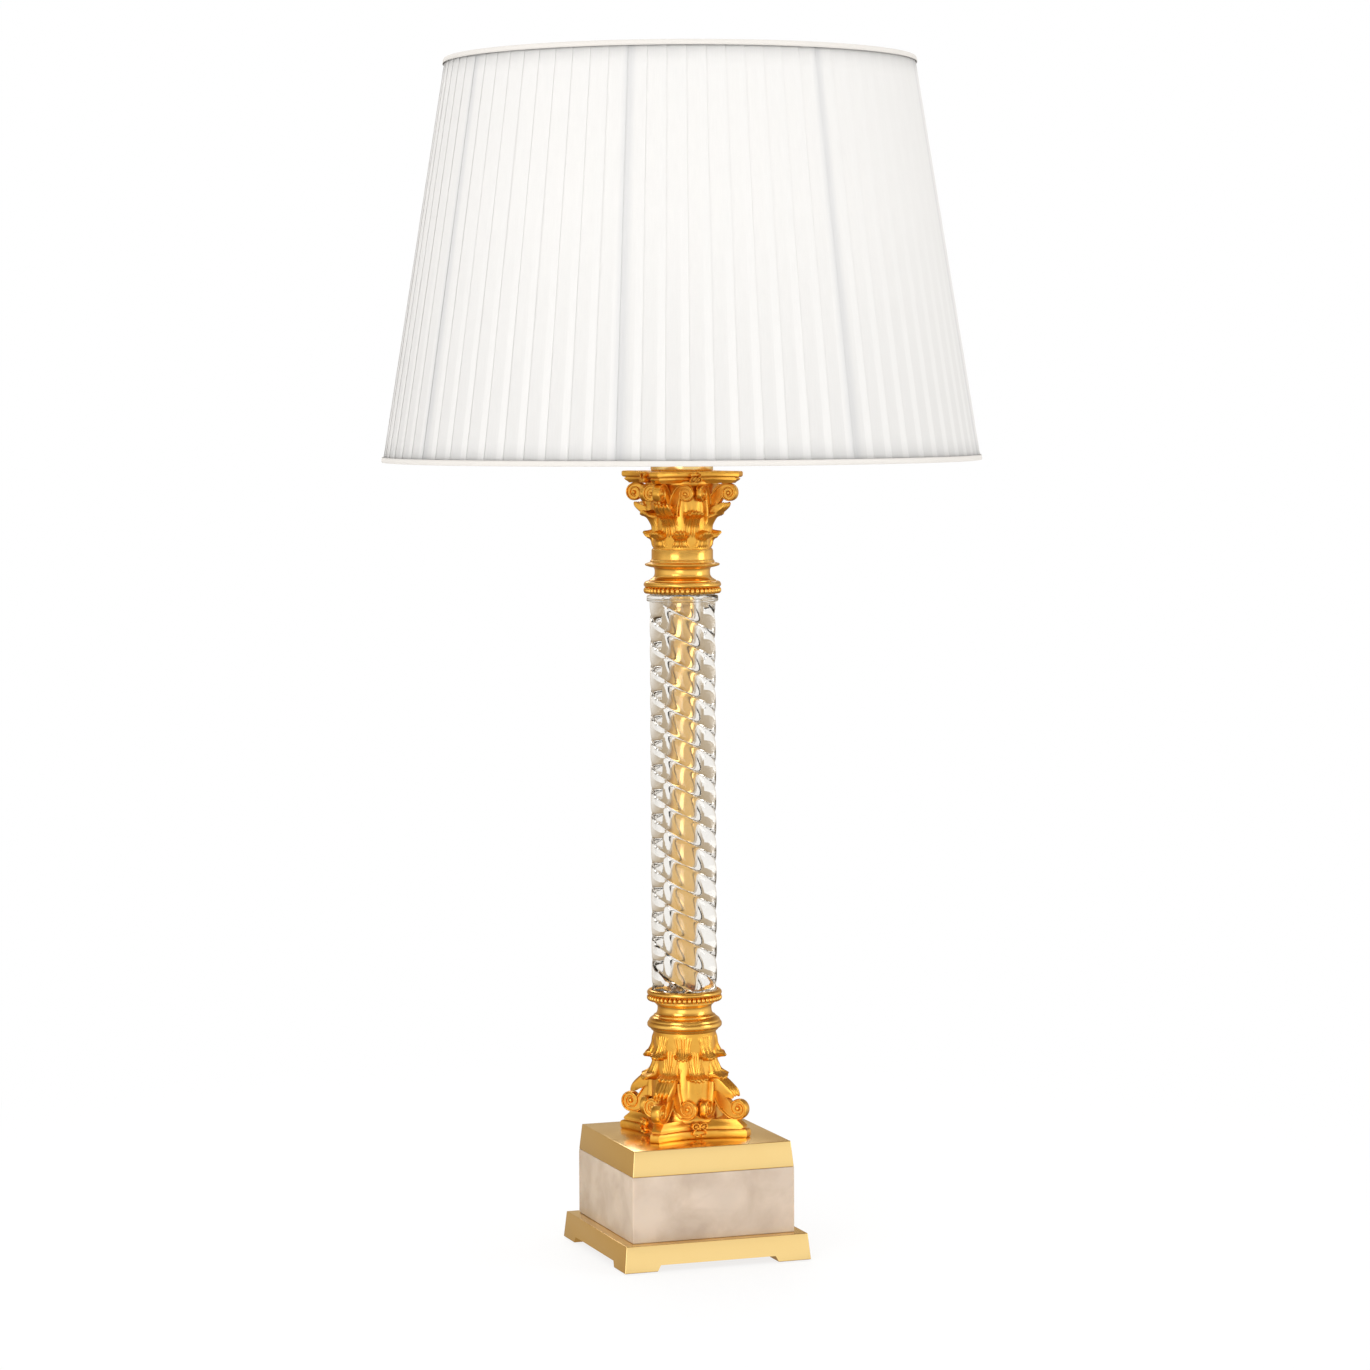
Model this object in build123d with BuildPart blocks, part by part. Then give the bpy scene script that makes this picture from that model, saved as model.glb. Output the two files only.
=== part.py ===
from build123d import *
import os
from math import atan, cos, degrees, exp, log, pi, radians, sin

# Column table lamp. Millimetres, +Z up, origin at the centre of the footprint on the table.
# The wide front of the square base faces -Y.

# --- Base: felt pads, footed plate, stone block, upper plate -------------------------------------
pad_drop = 0.6
pad_half = 7.0
pad_recess = 1.0
pad_place = 60.0
foot_height = 4.6
foot_width = 28.4
foot_slope = 3.0
plate_foot_half = 73.9
plate_shoulder_half = 71.95
bottom_plate_top = 20.4
plate_edge = 0.5
stone_half = 64.3
stone_top = 70.0
stone_edge = 0.7
cap_foot_half = 64.1
cap_shoulder_half = 62.2
cap_plate_top = 89.5
pocket_half = 45.3
pocket_shoulder_half = 43.8
pocket_top = 16.0

# --- Tie rod that clamps the whole column, with its washer and nuts ------------------------------
rod_radius = 5.0
rod_bore = 3.6
rod_bottom = 8.0
rod_top = 606.0
rod_hole = 5.3
bore_sides = 24
nut_bore = 5.05
washer_half = 17.0
washer_height = 2.5
nut_flats = 17.0
nut_height = 5.0

# --- Cord inlet in the back of the bottom plate --------------------------------------------------
inlet_height = 11.6
inlet_bore = 3.5
inlet_bush_radius = 4.5
inlet_flange_radius = 6.0
inlet_flange = 2.4
inlet_seat = 70.9

# --- Column: capitals, turned mouldings, glass ---------------------------------------------------
lower_bell_end = 168.0
lower_neck_top = 192.8
lower_collar_top = 199.6
glass_bottom = 197.5
glass_top = 499.0
upper_collar_bottom = 500.0
upper_collar_top = 509.6
upper_neck_top = 534.0
column_top = 592.5
seat_height = 1.0
lobe_peak = 24.8
lobe_groove = 21.6
glass_bore = 10.5
glass_starts = 4
glass_lead = 75.0
glass_foot_radius = 25.5
glass_rim_radius = 27.0
sleeve_radius = 9.0
sleeve_wall = 1.0
beads = 40

# --- Lampholder, shade rings and bulb ------------------------------------------------------------
cup_radius = 23.5
cup_wall = 1.0
cup_floor = 2.0
cup_top = 613.5
holder_joint = 615.0
holder_top = 657.0
holder_radius = 19.3
holder_bore = 17.0
hub_radius = 12.0
wire_hole = 2.0
shell_inner = 13.6
shell_wall = 0.6
shell_top = 651.0
contact_height = 628.0
contact_leaf = 1.6
fitter_bottom = 639.0
fitter_top = 641.0
ring_bore = 19.7
ring_sleeve_radius = 22.0
ring_flange_radius = 28.0
ring_flange = 1.6
ring_height = 7.0
bulb_radius = 30.0
bulb_length = 108.0
bulb_cap_radius = 13.2
bulb_cap_top = 652.0
bulb_contact_radius = 4.6
bulb_contact_height = 1.0
cap_wall = 0.8

# --- Shade ---------------------------------------------------------------------------------------
shade_bottom_z = 600.0
shade_top_z = 900.0
shade_bottom_radius = 225.0
shade_top_radius = 175.9
pleats = 80
pleat_fall = 0.0055
pleat_step = 0.06
cover_offset = 0.6
cover_wall = 1.8
wire_offset = 3.9
ring_wire = 1.4
strut_wire = 1.2
lining_offset = 5.4
lining_wall = 0.5
binding_height = 4.2
binding_wall = 0.5
binding_ease = 0.1
binding_inner = 6.5
struts = 8
strut_start = -76.0
arms = 4
arm_wire = 1.6
arm_foot = 607.5
arm_slot = 2.4
fitter_bore = 21.0
fitter_radius = 31.0

round_sides = 28
shade_sides = 40
inner_sides = 20

shade_slope = (shade_bottom_radius - shade_top_radius) / (shade_top_z - shade_bottom_z)


def shade_wall(offset, height):
    """Radius of a layer of the shade, a distance inside its outer cone, at a height."""
    return shade_bottom_radius - offset - shade_slope * (height - shade_bottom_z)


def finished(piece, label):
    """Names a piece and writes it to its own file."""
    piece.part.label = label
    export_step(piece.part, "parts/" + label + ".step")
    return piece.part


def slab_taper(foot_half, shoulder_half, height):
    return degrees(atan((foot_half - shoulder_half) / height))


def ring(radius, height, count, start=0.0):
    """Points evenly round the column's axis at a height."""
    turns = [2 * pi * (k + start) / count for k in range(count)]
    return [(radius * cos(turn), radius * sin(turn), height) for turn in turns]


def skin(rings, flat=True):
    """A solid with flat faces between rings of points, listed from the bottom up."""
    faces = [Face(Wire.make_polygon(rings[0])), Face(Wire.make_polygon(rings[-1]))]
    for low, high in zip(rings, rings[1:]):
        for k in range(len(low)):
            n = (k + 1) % len(low)
            if flat:
                corners = [(low[k], low[n], high[n], high[k])]
            else:
                corners = [(low[k], low[n], high[n]), (low[k], high[n], high[k])]
            faces += [Face(Wire.make_polygon(corner)) for corner in corners]
    return Solid(Shell(faces))


os.makedirs("parts", exist_ok=True)

# ================================ Base ===========================================================

pad_places = [(x, y) for x in (-pad_place, pad_place) for y in (-pad_place, pad_place)]
notch_top_half = plate_foot_half - foot_width

with BuildSketch(Plane.XZ) as notch_face:
    with BuildLine():
        Polyline(
            (-notch_top_half - foot_slope, 0),
            (-notch_top_half, pad_drop + foot_height),
            (notch_top_half, pad_drop + foot_height),
            (notch_top_half + foot_slope, 0),
            close=True,
        )
    make_face()

with BuildPart() as footed_plate:
    with BuildSketch(Plane.XY.offset(pad_drop)):
        Rectangle(2 * plate_foot_half, 2 * plate_foot_half)
    plate_height = bottom_plate_top - pad_drop
    extrude(amount=plate_height, taper=slab_taper(plate_foot_half, plate_shoulder_half, plate_height))
    extrude(notch_face.sketch, amount=2 * plate_foot_half, both=True, mode=Mode.SUBTRACT)
    extrude(
        notch_face.sketch.rotate(Axis.Z, 90),
        amount=2 * plate_foot_half,
        both=True,
        mode=Mode.SUBTRACT,
    )
    with BuildSketch():
        Rectangle(2 * pocket_half, 2 * pocket_half)
    draft = slab_taper(pocket_half, pocket_shoulder_half, pocket_top)
    extrude(amount=pocket_top, taper=draft, mode=Mode.SUBTRACT)
    with BuildSketch():
        with Locations(*pad_places):
            Rectangle(2 * pad_half, 2 * pad_half)
    extrude(amount=pad_drop + pad_recess, mode=Mode.SUBTRACT)
    with Locations((0, 0, bottom_plate_top)):
        Hole(rod_hole)
    with Locations(Plane(origin=(0, plate_foot_half, inlet_height), z_dir=(0, 1, 0))):
        CounterBoreHole(
            radius=inlet_bush_radius,
            counter_bore_radius=inlet_flange_radius,
            counter_bore_depth=plate_foot_half - inlet_seat,
            depth=plate_foot_half - pocket_shoulder_half,
        )

foot_top = Plane.XY.offset(pad_drop + foot_height)
with BuildPart() as bottom_plate:
    add(footed_plate.part)
    split(bisect_by=foot_top, keep=Keep.TOP)
finished(bottom_plate, "bottom_plate")

with BuildPart() as plate_feet:
    add(footed_plate.part)
    split(bisect_by=foot_top, keep=Keep.BOTTOM)
finished(plate_feet, "plate_feet")

with BuildPart() as felt_pads:
    with BuildSketch():
        with Locations(*pad_places):
            Rectangle(2 * pad_half, 2 * pad_half)
    extrude(amount=pad_drop + pad_recess)
finished(felt_pads, "felt_pads")

with BuildPart() as cord_inlet_bush:
    with BuildSketch(Plane(origin=(0, inlet_seat, inlet_height), z_dir=(0, 1, 0))):
        RegularPolygon(inlet_flange_radius - 0.1, inner_sides)
        Circle(inlet_bore, mode=Mode.SUBTRACT)
    extrude(amount=inlet_flange)
    with BuildSketch(Plane(origin=(0, inlet_seat, inlet_height), z_dir=(0, 1, 0))):
        RegularPolygon(inlet_bush_radius - 0.05, inner_sides)
        Circle(inlet_bore, mode=Mode.SUBTRACT)
    extrude(amount=-(inlet_seat - pocket_half - 1.0))
finished(cord_inlet_bush, "cord_inlet_bush")

with BuildPart() as base_washer:
    with BuildSketch(Plane.XY.offset(pocket_top - washer_height)):
        Rectangle(2 * washer_half, 2 * washer_half)
        RegularPolygon(rod_hole, bore_sides, mode=Mode.SUBTRACT)
    extrude(amount=washer_height)
finished(base_washer, "base_washer")


def hex_nut(bottom):
    """A nut on the tie rod, standing on the given height."""
    with BuildPart() as nut:
        with BuildSketch(Plane.XY.offset(bottom)):
            RegularPolygon(nut_flats / 2, 6, major_radius=False)
            RegularPolygon(nut_bore, bore_sides, mode=Mode.SUBTRACT)
        extrude(amount=nut_height)
    return nut


base_nut = hex_nut(pocket_top - washer_height - nut_height)
finished(base_nut, "base_nut")

with BuildPart() as stone_block:
    with BuildSketch(Plane.XY.offset(bottom_plate_top)):
        Rectangle(2 * stone_half, 2 * stone_half)
    extrude(amount=stone_top - bottom_plate_top)
    chamfer(edges().filter_by(Axis.Z), stone_edge)
    with Locations((0, 0, stone_top)):
        Hole(rod_hole)
finished(stone_block, "stone_block")

with BuildPart() as base_top_plate:
    with BuildSketch(Plane.XY.offset(stone_top)):
        Rectangle(2 * cap_foot_half, 2 * cap_foot_half)
    cap_height = cap_plate_top - stone_top
    extrude(amount=cap_height, taper=slab_taper(cap_foot_half, cap_shoulder_half, cap_height))
    chamfer(faces().sort_by(Axis.Z)[-1].edges(), plate_edge)
    with Locations((0, 0, cap_plate_top)):
        Hole(rod_hole)
finished(base_top_plate, "base_top_plate")

# ================================ Capitals =======================================================
# A capital is drawn with the outer face of its abacus at z = 0 and its bell rising along +Z,
# which is how the lower one stands. The upper one is turned over.

bow_steps = 4
bell_sides = 24
leaf_count = 8
leaf_sink = 2.5
leaf_thickness = 1.4
leaf_fold = 14.0
scroll_step = 45
scroll_eye = 0.3
scroll_turns = 1.25
scroll_band = 0.3


class CapitalSize:
    """The sizes in which the two capitals differ."""

    def __init__(self, height, abacus, bell, rows, volute, corner_leaf):
        self.height = height
        self.abacus_half, self.abacus_bow, self.bands = abacus
        self.bell_lip, self.bell_waist, self.bell_end = bell
        self.rows = rows
        self.volute_reach, self.volute_height, self.volute_radius = volute
        self.corner_reach, self.corner_height = corner_leaf


lower_size = CapitalSize(
    height=lower_bell_end - cap_plate_top,
    abacus=(40.3, 9.0, (6.6, 0.9, 6.3)),
    bell=(29.0, 25.2, 23.8),
    rows=((31.4, 60.5, 76.5, 22.5), (34.2, 44.5, 60.5, 0.0)),
    volute=(45.0, 20.8, 8.0),
    corner_leaf=(44.5, 33.0),
)
upper_size = CapitalSize(
    height=column_top - upper_neck_top,
    abacus=(37.0, 8.0, (4.6, 0.7, 3.7)),
    bell=(27.5, 23.4, 22.0),
    rows=((29.4, 47.0, 57.4, 22.5), (32.4, 31.5, 45.5, 0.0)),
    volute=(39.4, 15.6, 6.6),
    corner_leaf=(39.0, 25.2),
)


def abacus_band(size, low, height, inset):
    """One band of the abacus: a square with hollow sides and blunt corners."""
    half = size.abacus_half - inset
    tip = half - 0.13 * size.abacus_half
    side = []
    for k in range(bow_steps + 1):
        across = 2 * k / bow_steps - 1
        side.append((half - size.abacus_bow * (1 - across**2), tip * across))
    outline = list(side)
    for _ in range(3):
        side = [(-y, x) for x, y in side]
        outline += side
    with BuildPart() as band:
        with BuildSketch(Plane.XY.offset(low)):
            with BuildLine():
                Polyline(*outline, close=True)
            make_face()
        extrude(amount=height)
    return band.part


def spiral(radius, turns):
    """Points of a scroll that starts under its eye, turns outwards and up, and closes in."""
    points = []
    for k in range(round(360 * turns / scroll_step) + 1):
        angle = radians(k * scroll_step)
        reach = radius * exp(log(scroll_eye) * angle / (2 * pi * turns))
        points.append((reach * sin(angle), -reach * cos(angle)))
    return points


def scroll(plane, radius, turns, width, stem_back, stem_up):
    """A volute: a stem from the bell that passes under the eye and rolls up, round a thin web."""
    outside = spiral(radius, turns)
    inside = spiral(radius * (1 - scroll_band), turns)
    stem_outside = [(-stem_back, stem_up), (-0.66 * stem_back, 0.1 * stem_up - 0.5 * radius)]
    stem_inside = [(-0.5 * stem_back, 0.12 * stem_up - 0.2 * radius)]
    stem_inside += [(-stem_back + 0.45 * radius, stem_up)]
    with BuildPart() as piece:
        with BuildSketch(plane):
            with BuildLine():
                Polyline(*stem_outside, *outside, *reversed(inside), *stem_inside, close=True)
            make_face()
        extrude(amount=width / 2, both=True)
        with BuildSketch(plane):
            with BuildLine():
                Polyline(*stem_outside, *outside[: round(360 / scroll_step)], *stem_inside, close=True)
            make_face()
        extrude(amount=width * 0.32, both=True)
    return piece.part


def leaf(bell_radius, tip_radius, tip_height, root_height):
    """A leaf that hugs the bell and curls outwards at its tip, folded along its midrib."""
    length = root_height - tip_height
    half_width = tip_radius * radians(180 / leaf_count) * 0.86
    with BuildPart() as blade:
        with BuildSketch(Plane.XZ):
            with BuildLine():
                Polyline(
                    (bell_radius - leaf_sink, root_height),
                    (bell_radius + 0.6 * leaf_thickness, root_height),
                    (bell_radius + 1.4 * leaf_thickness, tip_height + 0.3 * length),
                    (tip_radius, tip_height + 1.5),
                    (tip_radius - 0.7, tip_height - 1.1),
                    (bell_radius - leaf_sink, tip_height - 2.2),
                    close=True,
                )
            make_face()
        fold = radians(leaf_fold)
        extrude(amount=half_width * cos(fold), dir=(-sin(fold), cos(fold), 0))
        mirror(about=Plane.XZ)
        with BuildSketch(Plane(origin=(bell_radius - 3, 0, 0), x_dir=(0, 1, 0), z_dir=(1, 0, 0))) as lobes:
            with BuildLine():
                edge = [
                    (0.4 * half_width, tip_height - 5),
                    (0.86 * half_width, tip_height + 0.26 * length),
                    (0.68 * half_width, tip_height + 0.36 * length),
                    (0.96 * half_width, root_height + 1),
                ]
                Polyline(*edge, *[(-x, y) for x, y in reversed(edge)], close=True)
            make_face()
        extrude(lobes.sketch, amount=tip_radius, mode=Mode.INTERSECT)
    return blade.part


def corner_leaf(size):
    """The leaf that backs a corner volute, in the plane of the diagonal."""
    root = size.bell_waist - leaf_sink
    reach, tip = size.corner_reach, size.corner_height
    middle = (root + reach) / 2
    with BuildPart() as blade:
        with BuildSketch(Plane.XZ):
            with BuildLine():
                Polyline(
                    (root, tip + 11),
                    (root + 4.5, tip + 9),
                    (middle + 1, tip + 2.4),
                    (reach - 2, tip + 1.0),
                    (reach, tip + 2.0),
                    (reach - 0.4, tip - 1.4),
                    (middle, tip - 1.6),
                    (root, tip + 2),
                    close=True,
                )
            make_face()
        extrude(amount=size.volute_radius * 0.62, both=True)
    return blade.part


def flower(size):
    """The scrolled flower in the middle of one side of the abacus."""
    abacus_height = sum(size.bands)
    seat = size.abacus_half - size.abacus_bow - 2.5
    petal = abacus_height * 0.26
    with BuildPart() as piece:
        with BuildSketch(Plane(origin=(seat, 0, abacus_height / 2), x_dir=(0, 1, 0), z_dir=(1, 0, 0))):
            RegularPolygon(petal * 1.2, 6)
            with Locations((-petal, petal * 0.7), (petal, petal * 0.7)):
                RegularPolygon(petal * 0.9, 6)
        extrude(amount=5.0)
    return piece.part


def helix(size, side):
    """One of the two small scrolls that meet in the middle of a side."""
    radius = size.volute_radius * 0.74
    along = Vector(cos(side * pi / 4), sin(side * pi / 4), 0)
    middle = Vector(size.bell_lip + 1.5, -side * radius * 0.95, size.volute_height + 0.5)
    plane = Plane(origin=middle, x_dir=along, z_dir=along.cross(Vector(0, 0, 1)))
    stem = [(-1.9 * radius, 1.5 * radius), (-1.25 * radius, -0.35 * radius)]
    with BuildPart() as piece:
        with BuildSketch(plane):
            with BuildLine():
                Polyline(*stem, *spiral(radius, scroll_turns)[:6], (-1.0 * radius, 1.5 * radius), close=True)
            make_face()
        extrude(amount=radius * 0.2, both=True)
        with BuildSketch(plane):
            RegularPolygon(radius * 0.36, 6)
        extrude(amount=-side * radius * 0.34)
    return piece.part


def capital(size):
    """One capital: bell, leaf rows, corner leaves, volutes, helices, abacus and flowers."""
    outer, groove, inner = size.bands
    abacus_height = outer + groove + inner
    eye = Plane(origin=(size.volute_reach, 0, size.volute_height), x_dir=(1, 0, 0), z_dir=(0, -1, 0))
    volute_back = size.volute_reach - size.bell_waist + leaf_sink
    volute_up = size.corner_height - size.volute_height + 6
    volute = scroll(eye, size.volute_radius, scroll_turns, size.volute_radius * 0.82, volute_back, volute_up)
    helices = [helix(size, -1), helix(size, 1)]
    bands = [
        abacus_band(size, 0, outer, 0),
        abacus_band(size, outer, groove, outer * 0.42),
        abacus_band(size, outer + groove, inner, outer * 0.34),
    ]
    rows = []
    for tip_radius, tip_height, root_height, turn in size.rows:
        rows.append((leaf(size.bell_waist, tip_radius, tip_height, root_height), turn))
    backing = corner_leaf(size)
    blossom = flower(size)
    bell = skin(
        [
            ring(size.bell_lip, outer, bell_sides),
            ring(size.bell_lip, abacus_height, bell_sides),
            ring(size.bell_waist, size.height * 0.36, bell_sides),
            ring(size.bell_end, size.height, bell_sides),
        ]
    )
    with BuildPart() as whole:
        add(bell)
        add(bands)
        for blade, turn in rows:
            with PolarLocations(0, leaf_count, turn):
                add(blade)
        with PolarLocations(0, 4, 45):
            add(volute)
            add(backing)
        with PolarLocations(0, 4):
            add(helices)
            add(blossom)
        with Locations((0, 0, size.height)):
            Hole(rod_hole)
    return whole.part


lower_casting = capital(lower_size)
with BuildPart() as lower_capital:
    with Locations((0, 0, cap_plate_top)):
        add(lower_casting)
finished(lower_capital, "lower_capital")

upper_casting = capital(upper_size)
with BuildPart() as upper_capital:
    with Locations(Location((0, 0, column_top), (180, 0, 0))):
        add(upper_casting)
finished(upper_capital, "upper_capital")

# ================================ Turned column pieces ===========================================


def turned(outline, bore=rod_hole, bore_count=bore_sides, count=round_sides):
    """A piece turned on the column's axis, from the outline of its outside, bottom to top."""
    with BuildPart() as piece:
        add(skin([ring(radius, height, count) for radius, height in outline]))
        with BuildSketch(Plane.XY.offset(outline[0][1])):
            RegularPolygon(bore, bore_count)
        extrude(amount=outline[-1][1] - outline[0][1], mode=Mode.SUBTRACT)
    return piece


low = lower_bell_end
lower_neck_moulding = turned(
    [
        (25.2, low),
        (25.6, low + 4.4),
        (28.3, low + 5.6),
        (27.6, low + 8.2),
        (25.4, low + 11.0),
        (21.0, low + 15.6),
        (20.6, low + 21.0),
        (22.6, lower_neck_top),
    ]
)
finished(lower_neck_moulding, "lower_neck_moulding")

high = upper_neck_top
upper_neck_moulding = turned(
    [
        (23.0, upper_collar_top),
        (21.0, upper_collar_top + 5.0),
        (21.4, high - 14.2),
        (28.3, high - 11.6),
        (24.2, high - 8.6),
        (22.6, high - 6.6),
        (22.6, high),
    ]
)
finished(upper_neck_moulding, "upper_neck_moulding")

bead_peak_radius = 28.6
bead_valley_radius = 26.6
bead_taper = 0.92
bead_share = 0.5


def bead_ring(height, peak, valley):
    """A ring of points, one at each bead and one at each gap."""
    peaks, valleys = ring(peak, height, beads), ring(valley, height, beads, 0.5)
    return [point for pair in zip(peaks, valleys) for point in pair]


def beaded_collar(low, high, grow):
    """A round collar: a smooth bulge above a row of beads."""
    peak, valley = bead_peak_radius + grow, bead_valley_radius + grow
    middle = low + bead_share * (high - low)
    bulge = [ring(valley, middle, round_sides), ring(peak, high - 1.2, round_sides)]
    bulge.append(ring(valley, high, round_sides))
    with BuildPart() as collar:
        add(skin([bead_ring(low, bead_taper * peak, bead_taper * valley), bead_ring(middle, peak, valley)]))
        add(skin(bulge))
        with Locations((0, 0, high)):
            Hole(rod_hole)
    return collar


with BuildPart() as lower_beaded_collar:
    add(beaded_collar(lower_neck_top, lower_collar_top, 0).part)
    with BuildSketch(Plane.XY.offset(glass_bottom - seat_height)):
        RegularPolygon(glass_foot_radius + 0.3, round_sides)
    extrude(amount=lower_collar_top, mode=Mode.SUBTRACT)
finished(lower_beaded_collar, "lower_beaded_collar")

with BuildPart() as upper_beaded_collar:
    add(beaded_collar(upper_collar_bottom, upper_collar_top, 0.8).part)
finished(upper_beaded_collar, "upper_beaded_collar")


def seat_washer(low):
    """A soft washer between glass and brass."""
    return turned([(glass_foot_radius - 1.0, low), (glass_foot_radius - 1.0, low + seat_height)])


lower_glass_seat = seat_washer(glass_bottom - seat_height)
finished(lower_glass_seat, "lower_glass_seat")
upper_glass_seat = seat_washer(glass_top)
finished(upper_glass_seat, "upper_glass_seat")

twist_low = 207.0
twist_high = 493.0
twist_steps = 40
lobe_sides = 4
lobe_fade = 6.0


def lobed_section(height):
    """The glass's four lobes at a height, turned along their left-handed twist."""
    fade = min(1.0, (height - twist_low) / lobe_fade, (twist_high - height) / lobe_fade)
    turned_by = -2 * pi * (height - twist_low) / glass_lead
    count = glass_starts * lobe_sides
    points = []
    for k in range(count):
        rise = sin(pi * (k % lobe_sides) / lobe_sides) ** 0.7
        reach = lobe_peak - fade * (lobe_peak - lobe_groove) * (1 - rise)
        angle = turned_by + 2 * pi * k / count
        points.append((reach * cos(angle), reach * sin(angle), height))
    return points


twist = (twist_high - twist_low) / twist_steps
sections = [lobed_section(twist_low + twist * k) for k in range(twist_steps + 1)]
with BuildPart() as glass_column:
    add(skin(sections, flat=False))
    add(turned([(glass_foot_radius, glass_bottom), (glass_foot_radius, twist_low)]).part)
    add(turned([(glass_rim_radius, twist_high), (glass_rim_radius, glass_top)]).part)
    with Locations((0, 0, glass_top)):
        Hole(glass_bore)
finished(glass_column, "glass_column")

rod_sleeve = turned(
    [(sleeve_radius, glass_bottom), (sleeve_radius, glass_top)],
    bore=sleeve_radius - sleeve_wall,
    count=inner_sides,
)
finished(rod_sleeve, "rod_sleeve")

tie_rod = turned([(rod_radius, rod_bottom), (rod_radius, rod_top)], bore=rod_bore, count=bore_sides)
finished(tie_rod, "tie_rod")

# ================================ Lampholder and bulb ============================================

with BuildPart() as holder_cup:
    add(turned([(cup_radius, column_top), (cup_radius, cup_top)]).part)
    with BuildSketch(Plane.XY.offset(column_top + cup_floor)):
        RegularPolygon(cup_radius - cup_wall, round_sides)
    extrude(amount=cup_top, mode=Mode.SUBTRACT)
finished(holder_cup, "holder_cup")

top_nut = hex_nut(column_top + cup_floor)
finished(top_nut, "top_nut")

holder_foot = column_top + cup_floor + nut_height
with BuildPart() as lampholder_cap:
    dome = [(hub_radius, holder_foot), (holder_radius, holder_foot + 4.0), (holder_radius, holder_joint)]
    add(turned(dome, bore=nut_bore, count=inner_sides).part)
    with BuildSketch(Plane.XY.offset(rod_top)):
        RegularPolygon(holder_bore, inner_sides)
    extrude(amount=holder_joint, mode=Mode.SUBTRACT)
finished(lampholder_cap, "lampholder_cap")

lampholder_body = turned(
    [(holder_radius, holder_joint), (holder_radius, holder_top)],
    bore=holder_bore,
    count=round_sides,
)
finished(lampholder_body, "lampholder_body")

insert_top = contact_height - contact_leaf
lampholder_insert = turned(
    [(holder_bore - 0.2, holder_joint), (holder_bore - 0.2, insert_top)], bore=wire_hole, count=inner_sides
)
finished(lampholder_insert, "lampholder_insert")

with BuildPart() as centre_contact:
    with BuildSketch(Plane.XY.offset(insert_top)):
        Rectangle(16.0, 6.0)
    extrude(amount=contact_leaf)
finished(centre_contact, "centre_contact")

screw_shell = turned(
    [(shell_inner + shell_wall, insert_top), (shell_inner + shell_wall, shell_top)],
    bore=shell_inner,
    count=inner_sides,
)
finished(screw_shell, "screw_shell")


def shade_ring(outline):
    """A ring on the lampholder's thread, whose flange grips the shade's fitter."""
    return turned(outline, bore=ring_bore, bore_count=round_sides)


lower_shade_ring = shade_ring(
    [
        (ring_sleeve_radius, fitter_bottom - ring_height),
        (ring_sleeve_radius, fitter_bottom - ring_flange),
        (ring_flange_radius, fitter_bottom - 0.8 * ring_flange),
        (ring_flange_radius, fitter_bottom),
    ]
)
finished(lower_shade_ring, "lower_shade_ring")

upper_shade_ring = shade_ring(
    [
        (ring_flange_radius, fitter_top),
        (ring_flange_radius, fitter_top + 0.8 * ring_flange),
        (ring_sleeve_radius, fitter_top + ring_flange),
        (ring_sleeve_radius, fitter_top + ring_height),
    ]
)
finished(upper_shade_ring, "upper_shade_ring")

with BuildPart() as bulb_contact:
    with BuildSketch(Plane.XY.offset(contact_height)):
        RegularPolygon(bulb_contact_radius, 16)
    extrude(amount=bulb_contact_height)
finished(bulb_contact, "bulb_contact")

bulb_cap_low = contact_height + bulb_contact_height
bulb_seal = bulb_cap_low + 8.0
with BuildPart() as bulb_cap:
    sides = [(6.0, bulb_cap_low), (bulb_cap_radius, bulb_cap_low + 4.0), (bulb_cap_radius, bulb_cap_top)]
    add(turned(sides, bore=wire_hole, count=inner_sides).part)
    with BuildSketch(Plane.XY.offset(bulb_seal)):
        RegularPolygon(bulb_cap_radius - cap_wall, inner_sides)
    extrude(amount=bulb_cap_top, mode=Mode.SUBTRACT)
finished(bulb_cap, "bulb_cap")

bulb_top = contact_height + bulb_length
bulb_middle = bulb_top - bulb_radius
bulb_neck = bulb_cap_radius - cap_wall - 0.1
bulb_outline = [(bulb_neck, bulb_seal), (bulb_neck, bulb_cap_top), (16.0, bulb_cap_top + 12.0)]
bulb_outline.append((25.0, bulb_middle - 17.0))
for lift in range(-8, 90, 23):
    reach = bulb_radius * cos(radians(lift))
    bulb_outline.append((reach, bulb_middle + bulb_radius * sin(radians(lift))))
with BuildPart() as bulb_glass:
    add(skin([ring(radius, height, inner_sides) for radius, height in bulb_outline]))
finished(bulb_glass, "bulb_glass")

# ================================ Shade ==========================================================
# The layers, from the outside in: binding, pleated cover, wire frame, lining, binding. Each plain
# layer has a corner at every strut.

layer_start = strut_start / 360


def layer_ring(offset, height):
    """A ring of points on a layer, a distance inside the shade's outer cone."""
    return ring(shade_wall(offset, height), height, shade_sides, layer_start * shade_sides)


def frustum(offset, low, high):
    """Everything inside a layer's outer face, between two heights."""
    return skin([layer_ring(offset, low), layer_ring(offset, high)])


def pleat_ring(height):
    """The cover's outside at a height: each knife pleat falls away and then steps out again."""
    outer = shade_wall(cover_offset, height)
    folds = ring(outer, height, pleats)
    troughs = ring(outer * (1 - pleat_fall), height, pleats, 1 - pleat_step)
    return [point for pair in zip(folds, troughs) for point in pair]


cover_low = shade_bottom_z + binding_wall
cover_high = shade_top_z - binding_wall
with BuildPart() as shade_cover:
    add(skin([pleat_ring(cover_low), pleat_ring(cover_high)]))
    add(frustum(cover_offset + cover_wall, cover_low - 1, cover_high + 1), mode=Mode.SUBTRACT)
finished(shade_cover, "shade_cover")


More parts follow.
